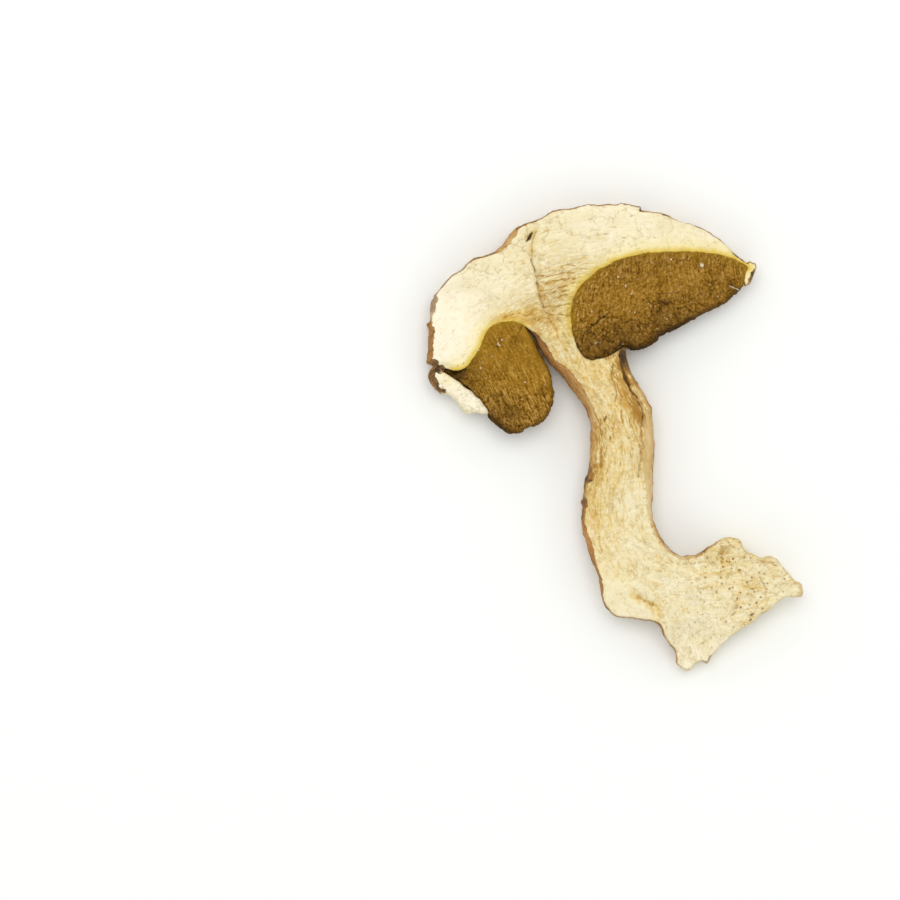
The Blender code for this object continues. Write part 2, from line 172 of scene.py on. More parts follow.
# The torn foot: out to its tip, back to the heel, and round to the outside of the bend.
FOOT = (
    rim(0.8, 0.4, 0.4, 0.25, (9.3, -17.65), (10.4, -17.9), (12.2, -17.55))
    + rim(0.6, 0.4, 0.2, 0.2, (13.3, -17), (14, -16.45), (15.2, -15.65))
    + rim(0.4, 0.1, 0.1, 0, (16, -15.2), (17, -15), (18.1, -15.15), (18.9, -15.7), (19.3, -16.7),
          (20.8, -17.7))
    + rim(0.4, 0.15, 0.1, 0.2, (22, -18.05), (23.3, -17.9), (24, -18.3), (24.7, -19), (26.7, -21.3))
    + rim(0.5, 0.5, 0.6, 0, (27.8, -22.15), (28.15, -22.9), (28.1, -23.85), (28.1, -23.85))
    + rim(0.28, 0.1, 0.1, 0.2, (26, -23.9), (25.1, -24.15), (24.2, -24.8), (22.9, -25.95), (21, -27.3))
    + rim(0.28, 0.1, 0.1, 0.3, (19.5, -28.4), (18.5, -29.05), (17.5, -29.75), (16.2, -30.9), (15.3, -31.8))
    + rim(0.3, 0.6, 0.25, 0.6, (14.5, -32.8), (14.15, -33.3), (13.7, -33.9), (13.2, -33.75))
    + rim(0.3, 0.4, 0.12, 0.3, (12.6, -33.65), (11.9, -34.2), (11.05, -35.05), (11.05, -35.05),
          (10.1, -34.65))
    + rim(0.28, 0.5, 0.1, 0.4, (9.4, -34.1), (9.15, -33), (8.95, -31.95), (8.2, -31), (7.4, -29.8))
    + rim(0.3, 0.6, 0.1, 0.5, (6.8, -28.5), (6.2, -27.9), (5.5, -27.6), (3.9, -27.3), (2.6, -27.15),
          (0.7, -26.95))
)
# The outside of the bend and the left side of the stem, up to the left tubes.
STEM_LEFT = (
    rim(0.3, 0.6, 0.12, 0.55, (-0.2, -26.6), (-1, -25.9), (-1.95, -24.5))
    + rim(0.7, 1, 0.35, 0.5, (-2.1, -23), (-2.4, -21.3), (-3, -19.7))
    + rim(1, 1, 0.65, 0.4, (-3.7, -18), (-4.3, -16), (-4.8, -14.2))
    + rim(0.9, 1, 0.4, 0.5, (-5, -13), (-5.05, -11.8), (-4.9, -10.8))
    + rim(0.6, 1, 0.7, 0.7, (-4.9, -10.2), (-5.15, -9.75), (-4.9, -9.2))
    + rim(0.8, 0.5, 0.3, 0.4, (-4.7, -8.4), (-4.6, -7.3))
    + rim(0.6, 1, 0.95, 0.8, (-4.65, -6.6), (-4.45, -6))
    + rim(0.8, 0.9, 0.6, 0.6, (-4.15, -5.5), (-3.95, -4.8))
    + rim(1.1, 0.7, 0.9, 0.15, (-3.8, -3), (-3.7, 0), (-3.75, 2.2))
    + rim(1.5, 1, 1.1, 0.1, (-4.1, 3.4), (-4.9, 4.9))
    + rim(1.9, 1, 1.45, 0.3, (-6.1, 6.6), (-7.2, 8.2), (-8.3, 9.5))
    + rim(1.9, 1, 1.2, 0.35, (-9, 10.2), (-9.5, 10.6))
)
# The cap margin that curled round the end of the left tubes: a pale flap, with dark skin at its left end.
FLAP_ROOT = rim(0.3, 1, 0.6, 0.9, (-25.9, 10.25), (-26.2, 10.1))
FLAP_SEAM = rim(0.4, 0, 0.1, 0, (-25, 9.4), (-23, 7.95), (-21, 6.35), (-19.2, 4.1))
FLAP = (
    rim(0.5, 0.1, 0.1, 0.2, (-19.4, 3.6), (-20, 3.55), (-20.9, 3.75), (-21.7, 3.5), (-22.4, 3.65),
        (-23, 4.4))
    + rim(0.6, 0.1, 0.1, 0.4, (-24, 5.4), (-25, 6.35))
    + rim(0.6, 1, 0.7, 0.9, (-25.6, 6.45), (-26.3, 6.75), (-26.9, 7.2))
    + rim(0.8, 1, 1, 0.75, (-27.6, 7.95), (-28.05, 9.2), (-27.95, 10), (-27.6, 10.45), (-27.5, 10.9))
)
# Where the left tubes run out into a wedge between cap and flap, painted dark as shade in the gap.
WEDGE = rim(0.3, 0, 0, 1.5, (-25.4, 10.12), (-25.75, 10), (-25.6, 9.8))
# The free edges of the two tube layers. How dark each edge is painted is partly browner tubes, partly
# painted shade.
RIGHT_LOBE = (
    rim(0.35, 0, 0, 0.35, (-6.1, 14.6), (-5.6, 13.3), (-4.8, 12.3), (-3.7, 11.7), (-2.4, 11.9), (-1.5, 12.1))
    + rim(0.5, 0, 0, 0.8, (-0.6, 12.5), (0.3, 13), (1.2, 13.55), (1.2, 13.55))
    + rim(1.4, 0, 0, 1.2, (2.2, 13.15), (3.4, 13.1), (4.8, 13.55), (5.8, 14.1), (6.3, 14.6), (6.4, 14.95))
    + rim(1.5, 0, 0, 1.3, (7.2, 15.5), (9, 16.25), (10.8, 17.15))
    + rim(1.1, 0, 0, 0.7, (12.7, 18.2), (14.4, 19.1), (16.1, 20), (17.6, 21.1), (18.9, 22.1))
)
LEFT_LOBE = (
    rim(0.6, 0, 0, 1.3, (-19.1, 3.15), (-18.2, 2.1), (-17.2, 1.35), (-16.4, 0.8), (-15.6, 0.55))
    + rim(0.6, 0, 0, 0.5, (-14.5, 0.8), (-13.4, 1.35), (-12.2, 1.8), (-10.9, 2.4), (-10.1, 3.5))
    + rim(0.5, 0, 0, 0.25, (-9.6, 4.7), (-9.35, 6.3), (-9.45, 7.8), (-9.85, 9.6))
)

# Large folds of the front face: centre line, depth, which is below zero for a ridge, and width.
FOLDS = (
    (((-12.6, 31.6), (-12.7, 28.5), (-12, 25), (-11.3, 21.5), (-10.3, 18.4)), 0.4, 0.6),
    (((1.1, 13), (1.4, 9.5), (2.6, 6.3), (3.9, 3.4), (3.9, 0), (3.6, -4.5)), 0.75, 0.7),
    (((-2.6, 5), (-2.5, 0.5), (-2.9, -5)), 0.35, 0.5),
    (((2.9, -23.6), (4.4, -24.6), (6.2, -26)), 0.5, 0.6),
    (((8.2, -18.2), (10.5, -19.1), (13.5, -18.9)), 0.4, 0.8),
    (((16.2, -16), (15.9, -17.4), (16.4, -18.6)), 0.5, 0.5),
    (((20.9, -18.8), (22.6, -18.7), (24.4, -19.4)), 0.45, 0.5),
    (((16.6, -27.6), (19.6, -25.6), (23.4, -22.9), (26.8, -22.2)), -0.3, 1.6),
    (((14.6, -17.2), (16.9, -16.1), (18.5, -16.6), (19.8, -18.2), (22.9, -18.9), (25.6, -21.2)), -0.45, 0.7),
    (((-9.8, 33), (-6, 32.8), (-1, 33.3), (4, 32.9), (9, 31.6)), -0.2, 1),
    (((-18.6, 26.2), (-16.6, 27), (-15.2, 28.8), (-14.2, 30.4)), -0.3, 0.9),
    (((-12.9, 15.9), (-11.6, 13.8), (-9.6, 11.2), (-7.4, 8.6), (-5.2, 5.9)), 0.3, 0.8),
    (((-6.4, 14), (-4.2, 10), (-1.6, 5), (-0.6, 1), (-0.8, -5)), -0.3, 1.3),
    (((4.7, 4.6), (5, 1), (4.9, -5)), -0.35, 0.5),
    (((-26.4, 8.7), (-25.6, 8.2), (-23.5, 6.3), (-21.4, 4.6)), -0.35, 1),
    (((-27.3, 10.6), (-26.3, 10.7), (-25, 10.5)), 0.5, 0.35),
)

# How strong the grain of the flesh is, at x, y.
GRAIN_REACH = 3.0
GRAIN = (
    (-23, 16, 0.1), (-17, 22, 0.12), (-19, 26, 0.15), (-14, 28, 0.15), (-6, 32, 0.1), (4, 31, 0.1),
    (14, 29, 0.1), (-9, 27, 0.15), (-8.5, 22.5, 1), (-7.5, 19, 1), (-4, 25, 0.7), (-12, 18.5, 0.7),
    (-15, 19, 0.3), (-7, 13, 0.8), (-3, 8, 0.75), (0, 2, 0.9), (1, -5, 0.75), (-3, -9, 1), (2, -12, 0.4),
    (0, -18, 0.45), (4, -22, 0.5), (10, -24, 0.55), (16, -21, 0.6), (20, -24, 0.75), (11, -31, 0.5),
    (25, -21, 0.4), (0, -24.6, 0.1), (-23, 6, 0.4), (27, -23, 0.5),
)  # fmt: skip
# How strongly the flesh is drawn together in fine wrinkles beside the tubes, at x, y.
WRINKLED_REACH = 1.6
WRINKLED = (
    (-8.5, 25, 0.8), (-9.5, 22.5, 1), (-7.5, 21, 1), (-9, 19.5, 1), (-7.5, 17.8, 0.8), (-5.5, 24.8, 0.7),
    (-2.5, 26.5, 0.4), (-10.5, 24, 0.8), (-12.5, 18.7, 0.9), (-15, 18.4, 0.7), (-17.7, 17.8, 0.5),
    (-10, 17, 0.8), (-13.5, 22, 0.2), (-13, 26, 0.3), (-9.5, 28, 0.3), (-4, 28.5, 0.2), (2, 29, 0.15),
    (8, 30, 0.1), (14, 29, 0.1), (-20, 20, 0), (-24, 16, 0), (-17, 24, 0.1), (-8, 14, 0.5), (-5, 10, 0.3),
    (0, 5, 0.2), (1, -5, 0.15), (0, -15, 0.1), (8, -22, 0.1), (20, -22, 0.1), (11, -31, 0.1), (-23, 7, 0),
)  # fmt: skip
# How strongly the flesh is crazed with wandering creases, at x, y.
CREASED_REACH = 2.2
CREASED = (
    (-24, 15, 0.2), (-25, 20, 0.3), (-20, 23, 0.9), (-16, 26, 1), (-14, 29, 1), (-17, 22, 0.5),
    (-14, 24, 0.8), (-18, 18, 0.2), (-10, 29, 0.7), (-8, 27, 0.8), (-4, 31, 0.6), (0, 31, 0.8),
    (4, 30.5, 0.8), (8, 31, 0.5), (14, 29, 0.3), (18, 27, 0.2), (-9, 22, 0.3), (-7, 13, 0.6), (-3, 8, 0.5),
    (0, 0, 0.3), (0, -12, 0.7), (2, -17, 0.8), (5, -22, 0.8), (12, -24, 0.7), (18, -20, 0.9),
    (22, -24, 0.8), (11, -31, 0.6), (0, -25.5, 0), (-23, 6.5, 0.6),
)  # fmt: skip
# How thickly the flesh is freckled, at x, y.
FRECKLED_REACH = 2.5
FRECKLED = (
    (-20, 20, 0), (-8, 30, 0.05), (5, 31, 0.05), (15, 28, 0.05), (-8, 20, 0), (-4, 8, 0), (1, 0, 0.1),
    (0, -10, 0.05), (2, -18, 0.05), (0, -25, 0), (6, -23, 0.1), (10, -21, 0.2), (10, -28, 0.3),
    (11, -33, 0.3), (14, -24, 0.7), (16.5, -19, 1), (20, -20.5, 0.8), (20, -24.5, 1), (23.5, -22, 0.9),
    (24, -20, 0.4), (27, -23, 0.1), (15, -28.5, 0.4),
)  # fmt: skip
# How far the flesh has turned from white over cream to ochre, at x, y.
TONE_REACH = 2.6
TONE = (
    (-25, 16, 0), (-24, 21, 0.03), (-20, 18, 0.03), (-21, 25, 0.3), (-17, 23, 0.16), (-16, 26, 0.4),
    (-14, 29.5, 0.36), (-13, 22, 0.2), (-9, 31, 0.32), (-4, 33, 0.2), (0, 31, 0.24), (4, 33, 0.2),
    (-6, 28.5, 0.34), (3, 29.5, 0.32), (9, 30, 0.28), (14, 28.6, 0.22), (17, 27.2, 0.28), (-9.5, 26, 0.42),
    (-8.6, 23, 0.55), (-7.2, 20.5, 0.66), (-8, 18, 0.55), (-10.5, 21, 0.45), (-12.5, 18.5, 0.66),
    (-15, 18.5, 0.55), (-18, 17.4, 0.4), (-22, 12.5, 0.1), (-8.5, 15, 0.5), (-6, 12, 0.55), (-3, 10, 0.62),
    (-1, 6, 0.5), (1, 8, 0.66), (1.4, 5, 0.62), (-2.8, 1, 0.7), (0.5, 0, 0.5), (2.6, -2, 0.5),
    (-2.6, -4.5, 0.7), (1, -6, 0.4), (-3.4, -9.5, 0.68), (-3.2, -13.5, 0.62), (1.5, -11, 0.32),
    (1, -15.5, 0.4), (-1.5, -19, 0.5), (4, -17, 0.42), (3, -20.5, 0.4), (-0.6, -24.3, 0.2),
    (2.6, -25.6, 0.34), (8, -22, 0.32), (8, -25.5, 0.4), (12, -23, 0.3), (12, -19.2, 0.42),
    (16, -16.6, 0.42), (17.5, -19, 0.5), (20, -20, 0.46), (23, -20.5, 0.4), (21, -23.4, 0.5),
    (17.5, -26, 0.4), (20, -26.4, 0.36), (25, -23.1, 0.2), (27.3, -23, 0.5), (11, -28, 0.3),
    (14, -30, 0.16), (11, -33.4, 0.18), (-23.5, 6.6, 0.02), (-26.2, 8.5, 0.1), (20.4, 24.8, 0.4),
)  # fmt: skip

# Lines on the front face of the flesh: kind, width, depth, strength and points.
# Lines and dots of the dark kind are partly brown staining, partly painted shade in pits, cracks and deep
# folds.
FLESH_LINES = (
    ("grey", 0.17, 0.35, 0.8, (-11.85, 30.8), (-12.4, 29.6), (-12.5, 27.5), (-12.7, 26.7), (-12.1, 25)),
    ("grey", 0.2, 0.35, 0.8, (-12.1, 25), (-11.85, 23.7), (-11.6, 22.1), (-11.35, 21.1), (-10.8, 19.5)),
    ("dark", 0.12, 0.3, 0.6, (-12.75, 26.6), (-12.3, 25.5), (-12.05, 24.6), (-11.9, 23.6), (-11.65, 22.8)),
    ("dark", 0.12, 0.3, 0.5, (-11.5, 21.5), (-11.2, 20.6), (-10.7, 19.4), (-10.2, 18.2), (-9.6, 17.2)),
    ("gold", 0.5, 0.1, 0.8, (-11.6, 24.2), (-11.2, 22.2), (-10.8, 20.8), (-10.2, 19.2), (-9.7, 17.6)),
    ("dark", 0.15, 0.9, 1.1, (-12.5, 30.75), (-12.7, 30.4)),
    ("dark", 0.27, 1.2, 1.3, (-12.8, 30.25), (-13, 29.95)),
    ("dark", 0.16, 0.9, 1.1, (-13.1, 29.8), (-13.35, 29.45)),
    ("grey", 0.25, 0.3, 0.9, (-12.6, 27.1), (-12.72, 26.6)),
    ("ochre", 0.5, 0.1, 0.5, (-12, 31.3), (-12.4, 30), (-12.6, 28)),
    ("grey", 0.14, 0.12, 0.45, (-11.8, 31), (-9.5, 30.6), (-7, 30.75), (-5.5, 30), (-4, 29.75), (-3, 30.3)),
    ("grey", 0.14, 0.12, 0.6, (-3, 30.3), (-1.9, 30.5), (-0.3, 30.45), (0.9, 30), (2.3, 29.9), (3.6, 30.1)),
    ("grey", 0.13, 0.1, 0.45, (3.6, 30.1), (4.7, 30.3), (5.5, 29.9), (6.3, 29.9), (7.5, 30.3)),
    ("rust", 0.13, 0.15, 0.7, (-8.3, 25.7), (-6.9, 26), (-6.2, 25.7), (-5.5, 25.3), (-4, 25.3),
     (-2.6, 25.4)),
    ("grey", 0.13, 0.06, 0.3, (0.3, 32.5), (1.6, 32.3), (2.6, 32.25)),
    ("grey", 0.13, 0.1, 0.5, (5.7, 33.8), (5.72, 33)),
    ("grey", 0.15, 0.12, 0.6, (-14.65, 29.9), (-14.2, 28.7)),
    ("grey", 0.15, 0.12, 0.5, (-14.8, 28), (-14.7, 27.1)),
    ("grey", 0.15, 0.12, 0.5, (-20.7, 26.3), (-19.7, 24.7), (-19.4, 23.8)),
    ("grey", 0.14, 0.1, 0.4, (-18.8, 24.3), (-17.1, 23.4), (-16.7, 24.6)),
    ("grey", 0.14, 0.1, 0.4, (-16.5, 24.9), (-15.7, 25.1), (-13.1, 25.3)),
    ("rust", 0.16, 0.2, 0.9, (-11.6, 24.3), (-9.9, 24.1), (-7.9, 24.7), (-6.1, 24.6)),
    ("rust", 0.16, 0.2, 0.9, (-11.5, 23.1), (-9.5, 23.4), (-6.1, 23.85)),
    ("rust", 0.16, 0.2, 0.9, (-11.35, 22), (-9.2, 22.3), (-6.1, 23.1)),
    ("rust", 0.16, 0.2, 0.9, (-11.5, 21.1), (-9.5, 21.6), (-7.05, 22)),
    ("rust", 0.16, 0.2, 0.9, (-10.8, 20.6), (-7.2, 21.3)),
    ("rust", 0.16, 0.2, 0.9, (-10.6, 19.5), (-7, 20)),
    ("rust", 0.16, 0.2, 0.9, (-10.2, 18.5), (-7, 18.3)),
    ("ochre", 0.6, 0.15, 0.9, (-16.2, 18.25), (-14.2, 18.7), (-12.4, 19)),
    ("ochre", 0.4, 0.12, 0.9, (-20.4, 14.95), (-19.2, 16.1), (-17.7, 17.3), (-16.2, 18.1)),
    ("ochre", 0.5, 0.15, 1, (-14.2, 17.3), (-12.8, 17.5), (-11.35, 18.1)),
    ("grey", 0.3, 0.3, 0.7, (-8.7, 17.8), (-8, 17.2)),
    ("grey", 0.25, 0.2, 0.5, (-8, 16.1), (-7.2, 14.2), (-6.2, 12.1)),
    ("grey", 0.2, 0.15, 0.4, (-9.2, 15.5), (-8, 13), (-6.8, 11)),
    ("ochre", 0.2, 0.15, 0.6, (-9.6, 17.2), (-8.6, 15.2), (-7.4, 13)),
    ("dark", 0.3, 0.5, 1.1, (0.85, 13.2), (0.9, 11.6), (1, 10.4), (1.4, 9), (1.9, 7.8)),
    ("dark", 0.18, 0.45, 0.8, (1.9, 7.8), (2.5, 6.8), (3, 6.2)),
    ("dark", 0.14, 0.4, 0.8, (3, 6.2), (3.5, 5.2), (3.95, 4), (4.1, 2.9), (4, 1.6)),
    ("rust", 0.95, 0.05, 1.3, (0.7, 11.9), (1.1, 10.1), (2.1, 7.7), (2.6, 5.8), (3.3, 4), (3.9, 2.6)),
    # A painted shadow: warm brown on the stem just below the edge of the right tubes.
    ("rust", 0.5, 0.05, 1, (-1.5, 12.1), (-0.6, 12.2), (0.3, 12.3)),
    ("rust", 0.14, 0.2, 1.2, (-0.2, 10.9), (0.1, 9.4), (0.2, 8.2), (0.6, 6.9), (0.8, 5.6)),
    ("grey", 0.35, 0.1, 0.9, (1.75, 12.6), (1.95, 11.3), (2.3, 10)),
    ("rust", 0.3, 0.2, 1, (4.3, 3.2), (4, 2), (3.9, 0.5), (3.85, -1.6), (3.9, -3.4)),
    ("gold", 0.5, 0.1, 1.1, (0.3, 11.6), (0.6, 10.2), (0.9, 8.6), (1.2, 7.2), (1.5, 5.8), (1.8, 4.8)),
    ("gold", 0.9, 0.05, 0.8, (0.9, 9.6), (1.3, 7.6), (1.9, 6), (2.7, 4.6), (3.1, 3.4)),
    ("gold", 0.8, 0.1, 1.3, (0.9, 8.6), (1.25, 7.2), (1.4, 5.9), (1.7, 4.8)),
    ("gold", 0.5, 0.1, 0.9, (2.2, 6), (2.8, 4.8), (3.4, 3.4), (3.6, 2)),
    ("gold", 0.5, 0.05, 0.7, (-3.3, -11.5), (-3.4, -13.6), (-2.9, -15.4)),
    ("gold", 0.6, 0.05, 0.7, (-18.4, 17.6), (-16.6, 18.4), (-14.4, 18.5), (-12.4, 18.2)),
    ("gold", 0.4, 0.05, 1.1, (-16.8, 18), (-15.4, 18.1), (-13.8, 17.7), (-12.6, 17), (-11.6, 15.6)),
    ("rust", 0.14, 0.15, 0.8, (-16.6, 18.1), (-15, 18.6), (-13.4, 18.3), (-11.8, 18.7)),
    ("rust", 0.14, 0.15, 0.7, (-13.6, 17.6), (-12.2, 17.8), (-10.6, 17.2), (-9.6, 16.2)),
    ("dark", 0.11, 0.2, 0.7, (-0.35, 11.2), (-0.35, 10), (-0.15, 9)),
    ("rust", 0.2, 0.2, 0.9, (-0.4, 10.6), (-0.5, 9.2), (-0.2, 8), (0.1, 6.8), (-0.1, 5.4)),
    ("gold", 0.35, 0.1, 0.8, (2.4, 4.6), (2.9, 3), (3.2, 1.4), (3.3, -0.2)),
    ("rust", 0.14, 0.2, 0.8, (1, 4.6), (0.8, 3.2), (1, 2)),
    ("gold", 0.5, 0.1, 0.8, (0, 2.9), (0.4, 2), (0.5, 1.2)),
    ("olive", 0.26, 0.4, 1, (-1.5, 3.1), (-1.75, 2.5)),
    ("dark", 0.12, 0.4, 0.8, (-1.5, 3), (-1.7, 2.65)),
    ("grey", 0.15, 0.3, 0.9, (-0.6, 6.6), (-0.45, 6.4)),
    ("rust", 0.16, 0.2, 0.8, (-0.3, 2.2), (-0.4, 1), (-0.35, 0.1)),
    ("rust", 0.16, 0.2, 0.6, (2.2, 3.7), (2.1, 2.6), (2.2, 1.6)),
    ("gold", 0.4, 0.1, 0.6, (0.1, 2.2), (0.3, 1.7)),
    ("rust", 0.3, 0.25, 1.1, (-2.95, 3.6), (-2.95, 1), (-3, -1.5), (-3.1, -4.4)),
    ("dark", 0.12, 0.25, 0.7, (-3.1, 2.4), (-3.1, 0.4), (-3.15, -1.8)),
    ("rust", 0.24, 0.2, 1, (-2.35, 2.6), (-2.2, 0.8), (-2.3, -1), (-2.1, -2.8), (-2.3, -4.6)),
    ("grey", 0.16, 0.2, 0.8, (-1.9, 1.2), (-2, -0.4), (-1.8, -1.6)),
    ("rust", 0.14, 0.2, 0.9, (-1.5, 1.6), (-1.6, 0.2), (-1.4, -1.2), (-1.6, -3)),
    ("dark", 0.1, 0.2, 0.7, (-0.95, 1.7), (-1, 0.6), (-0.9, -0.2)),
    ("gold", 0.5, 0.1, 0.8, (-2.6, -3.4), (-2.3, -5.2), (-2.5, -7)),
    ("rust", 0.16, 0.15, 0.7, (-1.2, -3.6), (-1.1, -5.4), (-1.3, -7.2)),
    ("rust", 0.14, 0.15, 0.6, (0.9, -0.8), (1, -2.4), (0.8, -4.2)),
    ("rust", 0.14, 0.15, 0.6, (2.2, -1.4), (2.4, -3.4), (2.3, -5)),
    ("rust", 0.6, 0.15, 1.2, (-3.6, -5.5), (-4.1, -6.4)),
    ("dark", 0.3, 0.2, 0.5, (-4, -6), (-4.4, -6.5)),
    ("dark", 0.24, 0.2, 0.5, (-4.6, -9), (-4.75, -9.7), (-4.55, -10.8)),
    ("gold", 0.4, 0.1, 0.5, (-3.3, -8.2), (-3.4, -10.5), (-3.1, -12.6), (-3.3, -14.5)),
    ("rust", 0.16, 0.15, 0.6, (-2.6, -15), (-2.2, -16.6), (-1.8, -18)),
    ("dark", 0.14, 0.25, 0.7, (3.6, -3.7), (3.5, -5), (3.4, -5.9)),
    ("rust", 0.16, 0.2, 0.7, (4.2, -6.4), (4.5, -8.2), (4.75, -10)),
    ("grey", 0.14, 0.15, 0.6, (2, -9.4), (1.8, -10.1)),
    ("grey", 0.16, 0.2, 0.7, (3.1, -10.2), (3.2, -10.8)),
    ("grey", 0.14, 0.15, 0.5, (0.8, -11.8), (0.7, -13.3)),
    ("rust", 0.22, 0.15, 0.9, (5.3, -12.8), (6, -14.4), (6.8, -15.6)),
    ("rust", 0.24, 0.3, 0.7, (3.2, -23.8), (4.6, -24.5), (5.4, -25)),
    ("ochre", 0.7, 0.1, 0.8, (2.8, -23.6), (4.4, -24.5), (5.8, -25.2)),
    ("ochre", 0.3, 0.2, 0.7, (5.4, -25), (6.2, -25.7), (6.6, -26.8)),
    ("grey", 0.2, 0.2, 0.6, (8, -18.3), (9.2, -18.9), (10.9, -19.05), (12.2, -18.9), (13.7, -18.7)),
    ("rust", 0.22, 0.15, 0.7, (10.6, -18.1), (12, -17.9), (13.4, -17.1)),
    ("rust", 0.26, 0.35, 1, (15.9, -16), (16.1, -16.8), (15.8, -17.6), (15.9, -18.4)),
    ("rust", 0.2, 0.2, 0.6, (16.1, -16.3), (17.3, -16.6)),
    ("grey", 0.17, 0.2, 0.7, (16.4, -15.2), (17.2, -16), (18, -16.7)),
    ("rust", 0.22, 0.3, 0.9, (21.2, -18.6), (22.4, -18.65), (23.3, -18.85), (24.1, -19.2)),
    ("grey", 0.2, 0.15, 0.5, (20, -22.6), (22.2, -22.5), (24.4, -22.1), (27, -21.9)),
    ("olive", 0.35, 0.1, 0.6, (22.2, -22), (22.6, -22.8), (22.3, -23.5)),
    ("ochre", 0.3, 0.1, 0.6, (19.4, -22.3), (21, -22.5), (22, -22.6)),
    ("rust", 0.2, 0.15, 0.6, (17.2, -26.9), (17.9, -26), (18.3, -25.2)),
    ("rust", 0.2, 0.15, 0.6, (19.4, -26.5), (19.8, -25.7)),
    ("grey", 0.16, 0.15, 0.6, (9.8, -29.2), (10.1, -29.9)),
    ("grey", 0.14, 0.15, 0.5, (11.2, -32.1), (11.1, -32.8)),
    ("ochre", 0.4, 0.1, 0.5, (12.4, -31.4), (14, -30.4), (15.4, -29.4)),
    ("ochre", 0.25, 0.05, 0.6, (-25.6, 8.3), (-25.3, 7.8)),
    ("grey", 0.2, 0.2, 0.8, (-20.6, 4.4), (-20.3, 4.1)),
    ("rust", 0.3, 0.1, 0.6, (-26, 7.4), (-25.6, 7.2)),
    ("ochre", 0.25, 0.1, 0.5, (20.7, 25), (20.3, 24.2)),
)
# Dots on the flesh: kind, radius, depth, strength and places.
FLESH_DOTS = (
    ("dark", 0.12, 0.15, 0.9, (2.3, 33.2), (6.2, 30.7), (20.4, -26.6), (17.4, -19.2)),
    ("grey", 0.15, 0.1, 0.6, (-6.2, 32.2), (-0.1, 33), (2.2, 31.05), (12.3, 29.5), (14.8, 29.3),
     (-9.2, 27.2)),
    ("grey", 0.13, 0.1, 0.5, (6.7, 31.8), (-10.6, 26.6), (-9.1, 23.7), (-15.1, 22.7), (-22.5, 23.35),
     (-21.4, 25)),
    ("grey", 0.13, 0.1, 0.4, (-18.3, 19.4), (-26.4, 12.3), (-24.8, 15.2), (-20.4, 21), (-8.2, 29),
     (9, 31.2)),
    ("olive", 0.18, 0.1, 0.9, (-23.7, 10.75), (-22.8, 11.1), (13.1, -26.5), (21.4, -24.4), (22.6, -23.2),
     (19.8, -22)),
    ("olive", 0.24, 0.2, 1.2, (20.4, -26.6), (20.2, -27.3), (21.1, -24.8), (16.7, -18.6), (18.6, -20)),
    ("olive", 0.13, 0.1, 0.8, (24, -21), (23.3, -20.1), (24.9, -20.3), (24.4, -19.9), (22.9, -19.9),
     (17.3, -18.9)),
    ("olive", 0.13, 0.1, 0.8, (18, -24.6), (13, -22), (14.9, -21.5), (16.8, -22.4), (19, -20.9),
     (16.2, -19.9)),
    ("olive", 0.12, 0.1, 0.7, (17.5, -25.6), (17.1, -27.7), (18.9, -24), (20.8, -23), (15.3, -27.6),
     (21.9, -21.6)),
    ("grey", 0.16, 0.15, 0.8, (2.15, -0.15), (9.9, -34), (11.6, -34), (17.6, -23.2), (15.8, -25.9)),
)


def spline(points, closed):
    """A Catmull-Rom curve through the points, sampled SPAN_STEPS times between each two."""
    p = np.array(points, float)
    ends = [p[-1:], p, p[:2]] if closed else [p[:1], p, p[-1:]]
    q = np.concatenate(ends)
    t = (np.arange(SPAN_STEPS) / SPAN_STEPS)[:, None]
    runs = []
    for a, b, c, d in zip(q, q[1:], q[2:], q[3:]):
        if np.allclose(b[:2], c[:2]):
            continue
        run = b + t / 2 * (c - a + t * (2 * a - 5 * b + 4 * c - d + t * (3 * (b - c) + d - a)))
        runs.append(run)
    if not closed:
        runs.append(p[-1:])
    return np.concatenate(runs)


def beside(seam, gap, rind_gap):
    """The line of a seam moved off the flesh, or into it below zero, and further where it has a rind."""
    path = outline(seam, False)
    run = np.gradient(path[:, :2], axis=0)
    run /= np.linalg.norm(run, axis=1)[:, None]
    off = gap + rind_gap * path[:, 3]
    path[:, :2] += off[:, None] * np.c_[-run[:, 1], run[:, 0]]
    return path


def footing(xy, path, closed):
    """Distance to the path, the segment where the nearest place is, and how far along it that is."""
    tree = kdtree.KDTree(len(path))
    for i, (x, y) in enumerate(path[:, :2]):
        tree.insert((x, y, 0), i)
    tree.balance()
    corner = np.array([tree.find((x, y, 0))[1] for x, y in xy])
    best = np.full(len(xy), np.inf)
    segment = np.zeros(len(xy), int)
    share = np.zeros(len(xy))
    for step in (-1, 0):
        i = (corner + step) % len(path) if closed else np.clip(corner + step, 0, len(path) - 2)
        a = path[i, :2]
        run = path[(i + 1) % len(path), :2] - a
        t = np.clip(((xy - a) * run).sum(1) / np.maximum((run**2).sum(1), 1e-12), 0, 1)
        away = np.hypot(*(xy - a - t[:, None] * run).T)
        closer = away < best
        best[closer], segment[closer], share[closer] = away[closer], i[closer], t[closer]
    return best, segment, share


def nearest(xy, path, closed):
    """Distance from each point to the path, and the path's further columns at the nearest place."""
    away, i, t = footing(xy, path, closed)
    more = path[i, 2:] + t[:, None] * (path[(i + 1) % len(path), 2:] - path[i, 2:])
    return np.c_[away, more]


def beside_spine(xy, points):
    """How far along the curve each point lies, and how far to the side of it."""
    path = spline(points, False)
    path = np.c_[path, np.append(0, np.cumsum(np.hypot(*np.diff(path, axis=0).T)))]
    away, i, t = footing(xy, path, False)
    run = path[i + 1] - path[i]
    to = xy - path[i, :2]
    side = np.sign(run[:, 0] * to[:, 1] - run[:, 1] * to[:, 0])
    return np.c_[path[i, 2] + t * run[:, 2], side * away]


# How many points are tested against an outline at a time, which keeps the tables in memory small.
POINTS_AT_A_TIME = 2000


